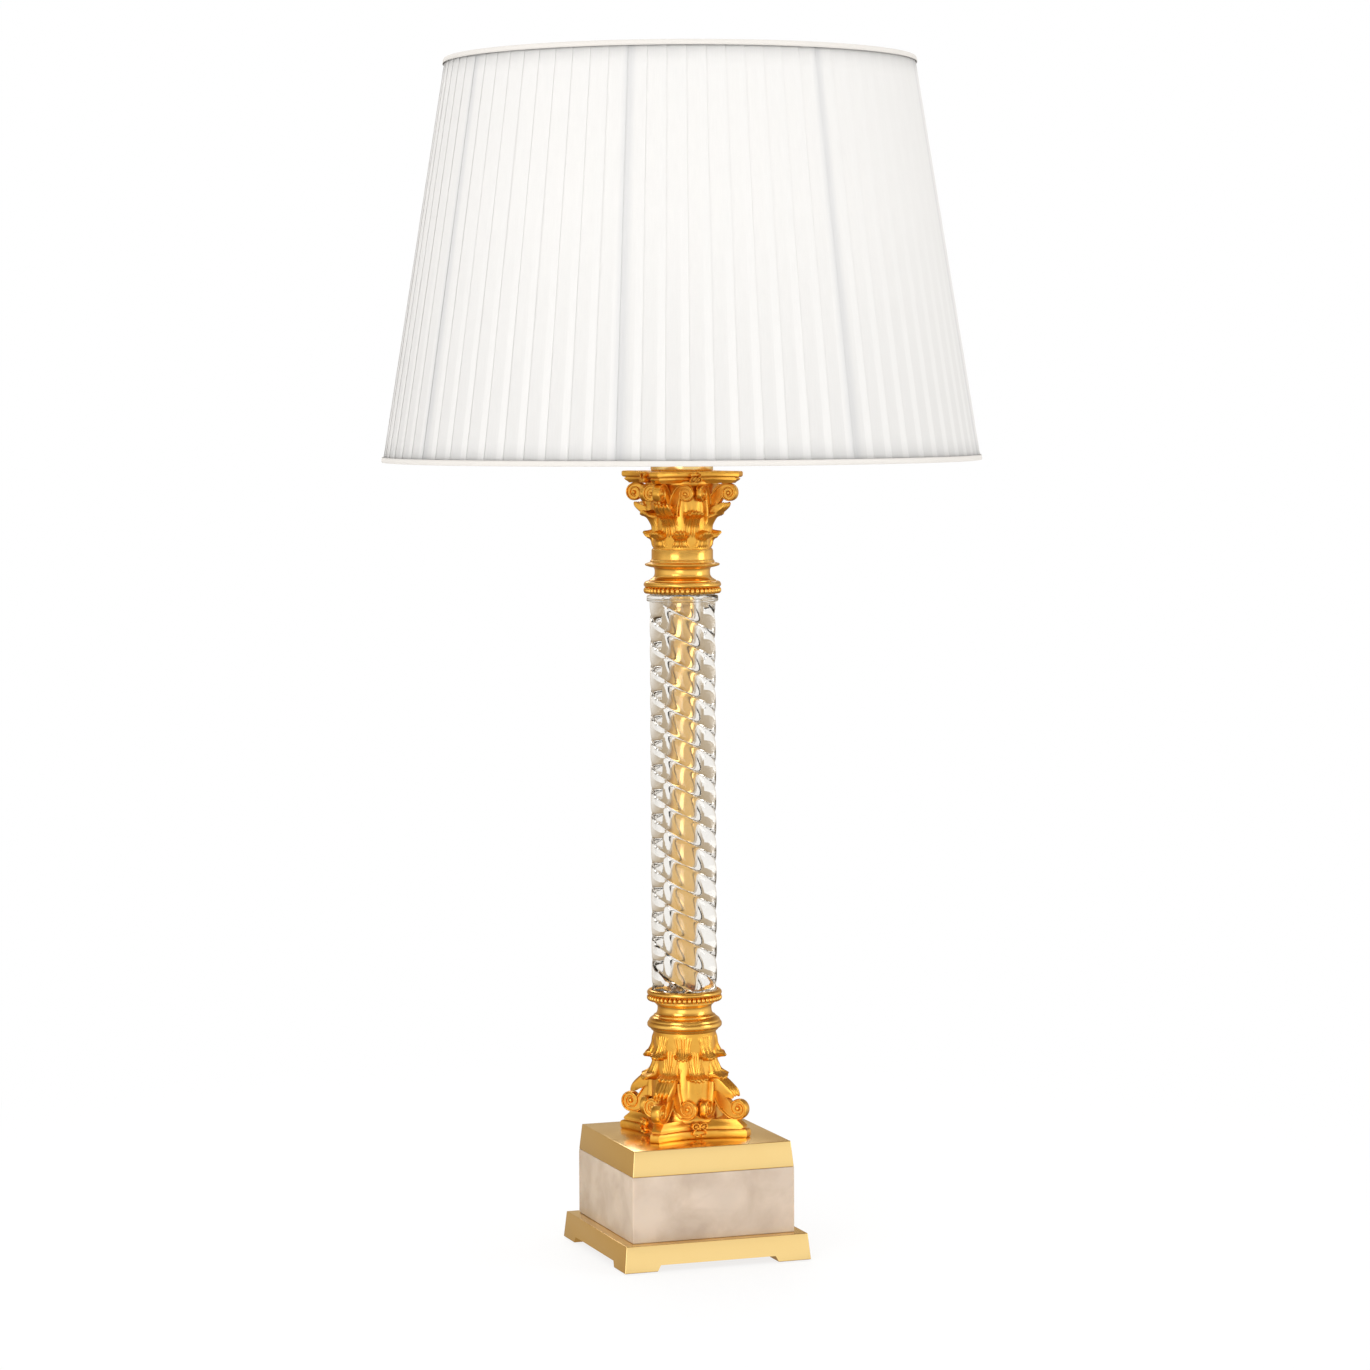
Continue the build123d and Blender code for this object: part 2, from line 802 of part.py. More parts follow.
def around_arms(reach):
    """Places on the four struts that carry the arms, at a distance from the axis."""
    return PolarLocations(reach, arms, strut_start)


with BuildPart() as shade_lining:
    add(frustum(lining_offset, cover_low, cover_high))
    add(frustum(lining_offset + lining_wall, cover_low - 1, cover_high + 1), mode=Mode.SUBTRACT)
    with BuildSketch(Plane.XY.offset(arm_foot - arm_slot)):
        with around_arms(shade_wall(lining_offset, arm_foot)):
            Rectangle(6 * lining_wall + arm_slot, 2 * arm_slot)
    extrude(amount=2.6 * arm_slot, mode=Mode.SUBTRACT)
finished(shade_lining, "shade_lining")


def binding(low, high, edge_low, edge_high):
    """A strip folded over the edge of the shade: an outer band and the turn under the edge."""
    with BuildPart() as strip:
        add(frustum(-binding_wall - binding_ease, low, high))
        add(frustum(-binding_ease, edge_low, edge_high), mode=Mode.SUBTRACT)
        add(frustum(binding_inner, low - 1, high + 1), mode=Mode.SUBTRACT)
    return strip


bottom_binding = binding(
    shade_bottom_z,
    shade_bottom_z + binding_height,
    cover_low,
    shade_bottom_z + binding_height + 1,
)
finished(bottom_binding, "bottom_binding")
top_binding = binding(
    shade_top_z - binding_height,
    shade_top_z,
    shade_top_z - binding_height - 1,
    cover_high,
)
finished(top_binding, "top_binding")


def wire_ring(height):
    """A ring of the shade's frame, at the height of its middle."""
    outer, middle, inner = wire_offset - ring_wire, wire_offset, wire_offset + ring_wire
    with BuildPart() as wire:
        add(skin([layer_ring(middle, height - ring_wire), layer_ring(outer, height)]))
        add(skin([layer_ring(outer, height), layer_ring(middle, height + ring_wire)]))
        hollow = [layer_ring(middle, height - ring_wire), layer_ring(inner, height)]
        hollow.append(layer_ring(middle, height + ring_wire))
        add(skin(hollow), mode=Mode.SUBTRACT)
    return wire.part


def rod_between(start, end, radius, sides=6):
    """A straight wire from one point to another."""
    along = Vector(*end) - Vector(*start)
    with BuildPart() as wire:
        with BuildSketch(Plane(origin=start, z_dir=along)):
            RegularPolygon(radius, sides)
        extrude(amount=along.length)
    return wire.part


low_ring = cover_low + ring_wire
high_ring = cover_high - ring_wire
strut = rod_between(
    (shade_wall(wire_offset, low_ring), 0, low_ring),
    (shade_wall(wire_offset, high_ring), 0, high_ring),
    strut_wire,
    sides=4,
)
with BuildPart() as shade_frame:
    add([wire_ring(low_ring), wire_ring(high_ring)])
    with PolarLocations(0, struts, strut_start):
        add(strut)
finished(shade_frame, "shade_frame")

arm = rod_between(
    (fitter_radius - 1, 0, (fitter_bottom + fitter_top) / 2),
    (shade_wall(wire_offset + strut_wire, arm_foot), 0, arm_foot),
    arm_wire,
)
with BuildPart() as shade_fitter:
    add(turned([(fitter_radius, fitter_bottom), (fitter_radius, fitter_top)], bore=fitter_bore).part)
    with PolarLocations(0, arms, strut_start):
        add(arm)
finished(shade_fitter, "shade_fitter")
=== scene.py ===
from math import atan2, copysign, cos, pi, radians, sin

import bpy
from mathutils import Matrix, Vector

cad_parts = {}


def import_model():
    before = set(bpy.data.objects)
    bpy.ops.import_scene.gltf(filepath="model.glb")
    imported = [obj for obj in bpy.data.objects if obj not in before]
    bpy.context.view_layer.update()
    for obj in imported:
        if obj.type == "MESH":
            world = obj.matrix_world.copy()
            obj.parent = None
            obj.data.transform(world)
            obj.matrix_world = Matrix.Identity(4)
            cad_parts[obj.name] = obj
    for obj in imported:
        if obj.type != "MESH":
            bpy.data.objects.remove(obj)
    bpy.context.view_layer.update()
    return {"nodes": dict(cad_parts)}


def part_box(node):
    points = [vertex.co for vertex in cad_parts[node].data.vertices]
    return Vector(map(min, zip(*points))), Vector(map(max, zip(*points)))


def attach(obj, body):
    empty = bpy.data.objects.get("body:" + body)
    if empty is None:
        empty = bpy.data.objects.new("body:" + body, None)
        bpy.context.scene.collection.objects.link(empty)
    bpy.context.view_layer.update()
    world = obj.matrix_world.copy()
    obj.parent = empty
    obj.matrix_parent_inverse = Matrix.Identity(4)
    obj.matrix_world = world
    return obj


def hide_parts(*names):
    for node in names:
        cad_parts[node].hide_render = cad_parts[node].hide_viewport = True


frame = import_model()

bl_info = {
    "name": "Column table lamp",
    "version": (1, 0, 0),
    "blender": (4, 5, 0),
    "location": "View3D > Sidebar > Column lamp",
    "description": "Builds a glass column lamp with leafed brass capitals and a pleated shade",
    "category": "Object",
}

MM = 0.001

# ---------------------------------------------------------------------------------------------
# Places taken from the frame
# ---------------------------------------------------------------------------------------------

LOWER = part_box("lower_capital")
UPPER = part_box("upper_capital")
LOWER_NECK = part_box("lower_neck_moulding")
UPPER_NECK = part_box("upper_neck_moulding")
LOWER_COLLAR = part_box("lower_beaded_collar")
UPPER_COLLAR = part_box("upper_beaded_collar")
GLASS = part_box("glass_column")
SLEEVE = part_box("rod_sleeve")
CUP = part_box("holder_cup")
HOLDER_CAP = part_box("lampholder_cap")
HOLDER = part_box("lampholder_body")
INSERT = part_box("lampholder_insert")
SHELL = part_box("screw_shell")
LOWER_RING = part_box("lower_shade_ring")
UPPER_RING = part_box("upper_shade_ring")
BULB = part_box("bulb_glass")
BULB_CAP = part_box("bulb_cap")
BOTTOM_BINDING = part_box("bottom_binding")
TOP_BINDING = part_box("top_binding")
SHADE_LOW, SHADE_HIGH = BOTTOM_BINDING[0][2] / MM, TOP_BINDING[1][2] / MM

# Radii of the shade's outer cone below and above, in millimetres
WIDE, NARROW = 225.0, 175.9
# The wire frame's struts, and the turn of the first in degrees
STRUTS, STRUT_START = 8, -76.0
# Radii of the rod's hole through the slabs and through the turned pieces, in millimetres
SLAB_HOLE, TURNED_HOLE = 5.3, 5.4
# Edges of a turned piece that are sharper than this, in degrees, are softened
SHARP_EDGE = 35


# ---------------------------------------------------------------------------------------------
# Settings that a user would change
# ---------------------------------------------------------------------------------------------


class LampSizes(bpy.types.PropertyGroup):
    """Sizes of the ornament and the cloth."""

    pleats: bpy.props.IntProperty(
        name="Pleats", description="Knife pleats round the shade", default=80, min=20
    )
    pleat_overlap: bpy.props.FloatProperty(
        name="Pleat overlap",
        description="Share of a pleat that its neighbour's fold covers",
        subtype="FACTOR",
        default=0.33,
        min=0,
        max=1,
    )
    pleat_rise: bpy.props.FloatProperty(
        name="Pleat rise",
        description="How far a fold stands out of the shade",
        default=0.85 * MM,
        unit="LENGTH",
    )
    tape_width: bpy.props.FloatProperty(
        name="Tape width", description="Height of the shade's bindings", default=4.0 * MM, unit="LENGTH"
    )
    glass_starts: bpy.props.IntProperty(
        name="Glass lobes", description="Lobes that wind round the column", default=4, min=1
    )
    glass_lead: bpy.props.FloatProperty(
        name="Glass lead", description="Height of one turn of a lobe", default=75.0 * MM, unit="LENGTH"
    )
    glass_peak: bpy.props.FloatProperty(
        name="Lobe radius", description="Radius over the glass's lobes", default=24.8 * MM, unit="LENGTH"
    )
    glass_groove: bpy.props.FloatProperty(
        name="Groove radius", description="Radius in the glass's grooves", default=22.3 * MM, unit="LENGTH"
    )
    glass_bore: bpy.props.FloatProperty(
        name="Glass bore", description="Radius of the glass's bore", default=10.5 * MM, unit="LENGTH"
    )
    beads: bpy.props.IntProperty(name="Beads", description="Beads on each collar", default=46, min=8)


class LampColours(bpy.types.PropertyGroup):
    """Colours of the finishes."""

    gold: bpy.props.FloatVectorProperty(
        name="Gold",
        description="Tint over all the gold finishes",
        subtype="COLOR",
        size=3,
        default=(1.0, 1.0, 1.0),
        min=0,
        max=1,
    )
    stone: bpy.props.FloatVectorProperty(
        name="Stone",
        description="Pale alabaster of the plinth",
        subtype="COLOR",
        size=3,
        default=(0.55, 0.45, 0.36),
        min=0,
        max=1,
    )
    silk: bpy.props.FloatVectorProperty(
        name="Silk",
        description="Pleated cover of the shade",
        subtype="COLOR",
        size=3,
        default=(0.95, 0.945, 0.935),
        min=0,
        max=1,
    )
    tape: bpy.props.FloatVectorProperty(
        name="Tape",
        description="Bindings of the shade",
        subtype="COLOR",
        size=3,
        default=(0.68, 0.655, 0.62),
        min=0,
        max=1,
    )


def sizes():
    return bpy.context.scene.lamp_sizes


def colours():
    return bpy.context.scene.lamp_colours


# ---------------------------------------------------------------------------------------------
# Mesh helpers
# ---------------------------------------------------------------------------------------------


def only(piece):
    """Leaves one object selected and active."""
    bpy.ops.object.select_all(action="DESELECT")
    piece.select_set(True)
    bpy.context.view_layer.objects.active = piece
    return piece


def from_points(name, points, faces):
    """A new mesh object from points and faces, left selected and active."""
    mesh = bpy.data.meshes.new(name)
    mesh.from_pydata(points, [], faces)
    mesh.validate()
    piece = bpy.data.objects.new(name, mesh)
    bpy.context.scene.collection.objects.link(piece)
    return only(piece)


def edit(piece, *steps):
    """Runs mesh operators, given as functions, on all of a piece."""
    only(piece)
    bpy.ops.object.mode_set(mode="EDIT")
    bpy.ops.mesh.select_all(action="SELECT")
    for step in steps:
        step()
    bpy.ops.object.mode_set(mode="OBJECT")
    return piece


def merge_close():
    bpy.ops.mesh.remove_doubles(threshold=1e-6)


def turn_outwards():
    bpy.ops.mesh.normals_make_consistent(inside=False)


def skin(name, rings, loop=False):
    """A closed surface over rings of points. A loop joins its last ring to its first."""
    count = len(rings[0])
    points = [point for ring in rings for point in ring]
    faces = []
    for i in range(len(rings) if loop else len(rings) - 1):
        low, high = i * count, (i + 1) % len(rings) * count
        for k in range(count):
            n = (k + 1) % count
            faces.append((low + k, low + n, high + n, high + k))
    if not loop:
        faces.append(tuple(reversed(range(count))))
        faces.append(tuple(range(len(points) - count, len(points))))
    return edit(from_points(name, points, faces), turn_outwards)


def sheet_grid(name, rows):
    """An open surface that closes round the column, over rows of points."""
    count = len(rows[0])
    points = [point for row in rows for point in row]
    faces = []
    for i in range(len(rows) - 1):
        for k in range(count):
            n = (k + 1) % count
            faces.append((i * count + k, i * count + n, (i + 1) * count + n, (i + 1) * count + k))
    return from_points(name, points, faces)


def modify(piece, kind, **values):
    """Adds a modifier with its values and applies it."""
    only(piece)
    modifier = piece.modifiers.new(kind, kind)
    for key, value in values.items():
        setattr(modifier, key, value)
    bpy.ops.object.modifier_apply(modifier=modifier.name)
    return piece


def smooth(piece, angle=40):
    only(piece)
    bpy.ops.object.shade_smooth_by_angle(angle=radians(angle))
    return piece


def joined(name, pieces):
    """Several objects as one."""
    bpy.ops.object.select_all(action="DESELECT")
    for piece in pieces:
        piece.select_set(True)
    bpy.context.view_layer.objects.active = pieces[0]
    if len(pieces) > 1:
        bpy.ops.object.join()
    piece = bpy.context.object
    piece.name = piece.data.name = name
    return piece


def moved_copy(piece, matrix):
    copy = piece.copy()
    copy.data = piece.data.copy()
    copy.data.transform(matrix)
    bpy.context.scene.collection.objects.link(copy)
    return copy


def round_copies(piece, count, first=0.0):
    """Copies of a piece round the column's axis, the first at an angle in degrees. The piece goes."""
    copies = [
        moved_copy(piece, Matrix.Rotation(radians(first + 360 * k / count), 4, "Z")) for k in range(count)
    ]
    bpy.data.objects.remove(piece)
    return copies


def dressed(piece, body, slot, material, *nodes):
    """Gives a finished piece its body and material, and hides the nodes it stands for. Its slot is not used.
    """
    piece.data.materials.clear()
    piece.data.materials.append(material)
    if nodes:
        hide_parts(*nodes)
    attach(piece, body)
    return piece


def primitive(name, add, **values):
    """A primitive added at its size and place, with that place in its mesh."""
    bpy.ops.object.select_all(action="DESELECT")
    add(**values)
    piece = bpy.context.object
    piece.name = piece.data.name = name
    bpy.ops.object.transform_apply(location=True, rotation=True, scale=True)
    return piece


def in_metres(outline):
    return [(radius * MM, height * MM) for radius, height in outline]


def ring_points(radius, height, count):
    turns = [2 * pi * k / count for k in range(count)]
    return [(radius * cos(turn), radius * sin(turn), height) for turn in turns]


def turned(name, outline, sides=96, soft=0.25 * MM):
    """A lathe-turned piece. The outline is a closed list of (radius, height)."""
    radius, height = outline[0]
    piece = primitive(
        name, bpy.ops.mesh.primitive_circle_add, vertices=sides, radius=radius, location=(0, 0, height)
    )
    bpy.ops.object.mode_set(mode="EDIT")
    bpy.ops.mesh.select_mode(type="VERT")
    bpy.ops.mesh.select_all(action="SELECT")
    for new_radius, new_height in [*outline[1:], outline[0]]:
        bpy.ops.mesh.extrude_region_move(TRANSFORM_OT_translate={"value": (0, 0, new_height - height)})
        grow = new_radius / radius
        bpy.ops.transform.resize(value=(grow, grow, 1), center_override=(0, 0, new_height))
        radius, height = new_radius, new_height
    bpy.ops.object.mode_set(mode="OBJECT")
    edit(piece, merge_close, turn_outwards)
    if soft:
        modify(
            piece, "BEVEL", width=soft, segments=2, limit_method="ANGLE", angle_limit=radians(SHARP_EDGE),
            use_clamp_overlap=True, harden_normals=False,
        )
    return smooth(piece)


def arc(centre, radius, start, end, steps):
    """Points of an arc in an outline, its angles in degrees from the outward direction."""
    turns = [radians(start + (end - start) * k / steps) for k in range(steps + 1)]
    return [(centre[0] + radius * cos(turn), centre[1] + radius * sin(turn)) for turn in turns]


def curve(t, p, q, r, s):
    """A cubic from q to r at a share t of the way, steered by p before and s after."""
    return 0.5 * (
        2 * q + (r - p) * t + (2 * p - 5 * q + 4 * r - s) * t**2 + (3 * q - p - 3 * r + s) * t**3
    )


def flowing(points, steps=4):
    """A smooth line through points, for an outline."""
    ends = [points[0], *points, points[-1]]
    line = []
    for four in zip(ends, ends[1:], ends[2:], ends[3:]):
        for k in range(steps):
            line.append(tuple(curve(k / steps, *values) for values in zip(*four)))
    return [*line, points[-1]]


def tube(name, path, radius, sides=12, loop=False):
    """A round wire along a line of points."""
    path = [Vector(point) for point in path]
    rings = []
    side = None
    for k, point in enumerate(path):
        if loop:
            along = path[(k + 1) % len(path)] - path[k - 1]
        else:
            along = path[min(k + 1, len(path) - 1)] - path[max(k - 1, 0)]
        along.normalize()
        if side is None:
            side = along.orthogonal().normalized()
        side = (side - along * side.dot(along)).normalized()
        across = along.cross(side)
        turns = [2 * pi * n / sides for n in range(sides)]
        rings.append([point + radius * (side * cos(turn) + across * sin(turn)) for turn in turns])
    return smooth(skin(name, rings, loop), 60)


# ---------------------------------------------------------------------------------------------
# Material helpers
# ---------------------------------------------------------------------------------------------


def group_sockets(group, inputs, outputs):
    for name, kind, value in inputs:
        socket = group.interface.new_socket(name, in_out="INPUT", socket_type=kind)
        if value is not None:
            socket.default_value = value
    for name, kind in outputs:
        group.interface.new_socket(name, in_out="OUTPUT", socket_type=kind)
    return group.nodes.new("NodeGroupInput"), group.nodes.new("NodeGroupOutput")


def node(tree, kind, **values):
    """A new node, with its inputs and settings given by name."""
    made = tree.nodes.new(kind)
    for key, value in values.items():
        if hasattr(made, key):
            setattr(made, key, value)
        else:
            made.inputs[key.replace("_", " ")].default_value = value
    return made


def maths(tree, operation, first, second=None):
    """A Math node. An argument is a socket or a number."""
    made = node(tree, "ShaderNodeMath", operation=operation)
    for place, value in enumerate((first, second)):
        if isinstance(value, bpy.types.NodeSocket):
            tree.links.new(value, made.inputs[place])
        elif value is not None:
            made.inputs[place].default_value = value
    return made.outputs[0]


def tone_between(tree, value, low, high, low_colour, high_colour):
    """A colour that runs from one to another as a value passes between two limits."""
    ramp = tree.nodes.new("ShaderNodeValToRGB")
    ramp.color_ramp.elements[0].position, ramp.color_ramp.elements[1].position = low, high
    ramp.color_ramp.elements[0].color = (*low_colour, 1)
    ramp.color_ramp.elements[1].color = (*high_colour, 1)
    tree.links.new(value, ramp.inputs[0])
    return ramp.outputs[0]


def value_between(tree, value, low, high, from_low=0.0, from_high=1.0):
    made = tree.nodes.new("ShaderNodeMapRange")
    made.inputs["From Min"].default_value, made.inputs["From Max"].default_value = from_low, from_high
    made.inputs["To Min"].default_value, made.inputs["To Max"].default_value = low, high
    tree.links.new(value, made.inputs["Value"])
    return made.outputs[0]


def surface(name, **values):
    """A new material and its Principled shader, with the shader's plain values given by name."""
    material = bpy.data.materials.new(name)
    material.use_nodes = True
    shader = material.node_tree.nodes["Principled BSDF"]
    for key, value in values.items():
        socket = shader.inputs[key.replace("_", " ")]
        socket.default_value = (*value, 1) if hasattr(value, "__len__") else value
    return material, material.node_tree, shader


def blended(tree, first, second, share=1.0, blend="MULTIPLY"):
    """Two colours laid over each other. An argument is a socket or a plain value."""
    made = node(tree, "ShaderNodeMix", data_type="RGBA", blend_type=blend)
    for name, value in (("Factor", share), ("A", first), ("B", second)):
        if isinstance(value, bpy.types.NodeSocket):
            tree.links.new(value, made.inputs[name])
        else:
            made.inputs[name].default_value = value
    return made.outputs["Result"]


def bump(tree, shader, height, strength, distance):
    made = node(tree, "ShaderNodeBump", Strength=strength, Distance=distance)
    tree.links.new(height, made.inputs["Height"])
    tree.links.new(made.outputs[0], shader.inputs["Normal"])


def grain_group():
    """Fine unevenness of a surface: a height and a slow change of tone."""
    group = bpy.data.node_groups.get("surface_grain")
    if group:
        return group
    group = bpy.data.node_groups.new("surface_grain", "ShaderNodeTree")
    start, end = group_sockets(
        group,
        [
            ("Vector", "NodeSocketVector", None),
            ("Fine Scale", "NodeSocketFloat", 900.0),
            ("Slow Scale", "NodeSocketFloat", 40.0),
        ],
        [("Height", "NodeSocketFloat"), ("Tone", "NodeSocketFloat")],
    )
    fine = node(group, "ShaderNodeTexNoise", Detail=3.0, Roughness=0.6)
    slow = node(group, "ShaderNodeTexNoise", Detail=4.0, Roughness=0.55, Distortion=0.4)
    group.links.new(start.outputs["Vector"], fine.inputs["Vector"])
    group.links.new(start.outputs["Vector"], slow.inputs["Vector"])
    group.links.new(start.outputs["Fine Scale"], fine.inputs["Scale"])
    group.links.new(start.outputs["Slow Scale"], slow.inputs["Scale"])
    group.links.new(fine.outputs["Fac"], end.inputs["Height"])
    group.links.new(slow.outputs["Fac"], end.inputs["Tone"])
    return group


def weave_group():
    """Threads that cross at right angles along a UV map in metres."""
    group = bpy.data.node_groups.get("cloth_weave")
    if group:
        return group
    group = bpy.data.node_groups.new("cloth_weave", "ShaderNodeTree")
    start, end = group_sockets(
        group,
        [("Vector", "NodeSocketVector", None), ("Threads Per Metre", "NodeSocketFloat", 1800.0)],
        [("Height", "NodeSocketFloat"), ("Slub", "NodeSocketFloat")],
    )
    split = group.nodes.new("ShaderNodeSeparateXYZ")
    group.links.new(start.outputs["Vector"], split.inputs[0])
    heights = []
    for axis in (0, 1):
        turns = maths(group, "MULTIPLY", split.outputs[axis], start.outputs["Threads Per Metre"])
        heights.append(maths(group, "ABSOLUTE", maths(group, "SINE", maths(group, "MULTIPLY", turns, pi))))
    group.links.new(maths(group, "MAXIMUM", heights[0], heights[1]), end.inputs["Height"])
    stretch = node(group, "ShaderNodeMapping")
    stretch.inputs["Scale"].default_value = (1500.0, 60.0, 1.0)
    slub = node(group, "ShaderNodeTexNoise", Scale=1.0, Detail=2.0)
    group.links.new(start.outputs["Vector"], stretch.inputs["Vector"])
    group.links.new(stretch.outputs[0], slub.inputs["Vector"])
    group.links.new(slub.outputs["Fac"], end.inputs["Slub"])
    return group


def place_group(tree, group, vector, **values):
    made = tree.nodes.new("ShaderNodeGroup")
    made.node_tree = group
    tree.links.new(vector, made.inputs["Vector"])
    for key, value in values.items():
        made.inputs[key.replace("_", " ")].default_value = value
    return made


def object_coordinates(tree):
    return tree.nodes.new("ShaderNodeTexCoord").outputs["Object"]


def kept(build):
    """Builds a material once and gives the same one each time."""
    made = {}

    def give(*key):
        if key not in made:
            made[key] = build(*key)
        return made[key]

    return give


# Each gold finish: its colour, lowest and highest roughness, the strength, depth and scale of its
# grain, and how far its deeper patches go
GOLD_FINISHES = {
    "cast": ((0.93, 0.5, 0.085), 0.24, 0.38, 0.3, 0.2 * MM, 750.0, 0.8),
    "polished": ((0.94, 0.54, 0.12), 0.18, 0.27, 0.06, 0.05 * MM, 500.0, 0.4),
    "satin": ((0.96, 0.69, 0.29), 0.16, 0.2, 0.03, 0.03 * MM, 1800.0, 0.1),
    "tube": ((0.92, 0.62, 0.24), 0.14, 0.24, 0.05, 0.05 * MM, 500.0, 0.5),
}
DEEP_GOLD = (0.86, 0.74, 0.55)


@kept
def gold(finish):
    """Gold plate: cast ornament, polished turning, satin sheet or the tube in the glass."""
    base, low, high, grain, depth, fine, patchy = GOLD_FINISHES[finish]
    material, tree, shader = surface("gold_" + finish, Metallic=1.0)
    marks = place_group(tree, grain_group(), object_coordinates(tree), Fine_Scale=fine, Slow_Scale=55.0)
    base = tuple(channel * share for channel, share in zip(base, colours().gold))
    deep = tuple(channel * (1 - patchy * (1 - shade)) for channel, shade in zip(base, DEEP_GOLD))
    colour = tone_between(tree, marks.outputs["Tone"], 0.3, 0.62, deep, base)
    tree.links.new(colour, shader.inputs["Base Color"])
    rough = value_between(tree, marks.outputs["Tone"], low, high, 0.3, 0.7)
    tree.links.new(rough, shader.inputs["Roughness"])
    bump(tree, shader, marks.outputs["Height"], grain, depth)
    return material


def stone_flecks(tree, where):
    """Soft paler and darker flecks, with their edges stirred."""
    stir = node(tree, "ShaderNodeTexNoise", Scale=22.0, Detail=4.0, Roughness=0.6)
    tree.links.new(where, stir.inputs["Vector"])
    moved = node(tree, "ShaderNodeMix", data_type="VECTOR")
    moved.inputs["Factor"].default_value = 0.035
    tree.links.new(where, moved.inputs["A"])
    tree.links.new(stir.outputs["Color"], moved.inputs["B"])
    cells = node(tree, "ShaderNodeTexVoronoi", Scale=38.0, feature="SMOOTH_F1", Smoothness=0.7)
    tree.links.new(moved.outputs["Result"], cells.inputs["Vector"])
    return tone_between(tree, cells.outputs["Distance"], 0.1, 0.7, (1.06, 1.06, 1.05), (0.9, 0.89, 0.88))


@kept
def alabaster():
    """Pale polished stone with soft milky clouds."""
    material, tree, shader = surface(
        "alabaster", Subsurface_Weight=0.35, Subsurface_Scale=0.006, Coat_Weight=0.2, Coat_Roughness=0.12,
        Specular_IOR_Level=0.4,
    )
    shader.inputs["Subsurface Radius"].default_value = (1.0, 0.7, 0.5)
    where = object_coordinates(tree)
    clouds = place_group(tree, grain_group(), where, Fine_Scale=160.0, Slow_Scale=30.0)
    base = colours().stone
    pale = tuple(min(1.0, channel * 1.1) for channel in base)
    warm = (base[0] * 0.9, base[1] * 0.87, base[2] * 0.84)
    colour = tone_between(tree, clouds.outputs["Tone"], 0.34, 0.6, warm, pale)
    colour = blended(tree, colour, stone_flecks(tree, where), 0.8)
    tree.links.new(colour, shader.inputs["Base Color"])
    rough = value_between(tree, clouds.outputs["Height"], 0.2, 0.3)
    tree.links.new(rough, shader.inputs["Roughness"])
    return material


@kept
def clear_glass():
    """Clear moulded glass, faintly warm, with a slight ripple."""
    material, tree, shader = surface(
        "clear_glass", Base_Color=(0.9, 0.875, 0.83), Roughness=0.015, IOR=1.5, Transmission_Weight=1.0
    )
    ripple = place_group(tree, grain_group(), object_coordinates(tree), Fine_Scale=140.0, Slow_Scale=30.0)
    bump(tree, shader, ripple.outputs["Height"], 0.16, 0.4 * MM)
    return material


def cloth(name, base, threads, sheen, see_through, pleated=False):
    """Woven cloth that lets light through. Its UV map is in metres."""
    material, tree, shader = surface(
        name, Roughness=0.75, Sheen_Weight=sheen, Sheen_Roughness=0.4, Specular_IOR_Level=0.25
    )
    uv = tree.nodes.new("ShaderNodeUVMap")
    uv.uv_map = "cloth"
    weave = place_group(tree, weave_group(), uv.outputs[0], Threads_Per_Metre=threads)
    dark = tuple(channel * 0.975 for channel in base)
    colour = tone_between(tree, weave.outputs["Slub"], 0.3, 0.7, dark, base)
    # The pleated silk takes painted shade between its folds and low down, and painted strut shadows
    if pleated:
        for tint in pleat_painted_shade(tree):
            colour = blended(tree, colour, tint)
    tree.links.new(colour, shader.inputs["Base Color"])
    bump(tree, shader, weave.outputs["Height"], 0.25, 0.08 * MM)
    if see_through:
        through = tree.nodes.new("ShaderNodeBsdfTranslucent")
        tree.links.new(colour, through.inputs["Color"])
        mix = tree.nodes.new("ShaderNodeMixShader")
        mix.inputs[0].default_value = see_through
        tree.links.new(shader.outputs[0], mix.inputs[1])
        tree.links.new(through.outputs[0], mix.inputs[2])
        tree.links.new(mix.outputs[0], tree.nodes["Material Output"].inputs["Surface"])
    return material


def pleat_painted_shade(tree):
    """Painted shade on the silk: greyer between folds and low down, and a painted shadow at each strut."""
    split = tree.nodes.new("ShaderNodeSeparateXYZ")
    tree.links.new(object_coordinates(tree), split.inputs[0])
    low, high = SHADE_LOW * MM, SHADE_HIGH * MM
    # Painted shade: the single layer between the folds is greyer low down and nearly white above
    single_layer_shade = value_between(tree, split.outputs["Z"], 0.915, 0.992, low, low + 0.6 * (high - low))
    # Where the folds overlap the silk stays white; the single layer keeps its painted shade
    lap = node(tree, "ShaderNodeAttribute", attribute_name="lap")
    rest = maths(tree, "SUBTRACT", 1.0, single_layer_shade)
    amount = maths(tree, "ADD", single_layer_shade, maths(tree, "MULTIPLY", lap.outputs["Fac"], rest))
    folds = node(tree, "ShaderNodeCombineColor")
    for socket in folds.inputs[:3]:
        tree.links.new(amount, socket)
    # Painted shadow of each strut behind the silk: a soft bluish-grey band
    turn = maths(tree, "ARCTAN2", split.outputs["Y"], split.outputs["X"])
    steps = maths(tree, "DIVIDE", maths(tree, "SUBTRACT", turn, radians(STRUT_START)), 2 * pi / STRUTS)
    beside = maths(tree, "ABSOLUTE", maths(tree, "SUBTRACT", steps, maths(tree, "ROUND", steps)))
    struts = tone_between(tree, beside, 0.008, 0.038, (0.9, 0.905, 0.915), (1.0, 1.0, 1.0))
    return folds.outputs[0], struts


@kept
def silk():
    return cloth("pleated_silk", colours().silk, 2200.0, 0.2, 0.35, pleated=True)


@kept
def lining_cloth():
    return cloth("lining_cloth", (0.84, 0.83, 0.8), 1500.0, 0.05, 0.3)


@kept
def tape():
    return cloth("binding_tape", colours().tape, 1400.0, 0.15, 0.0)


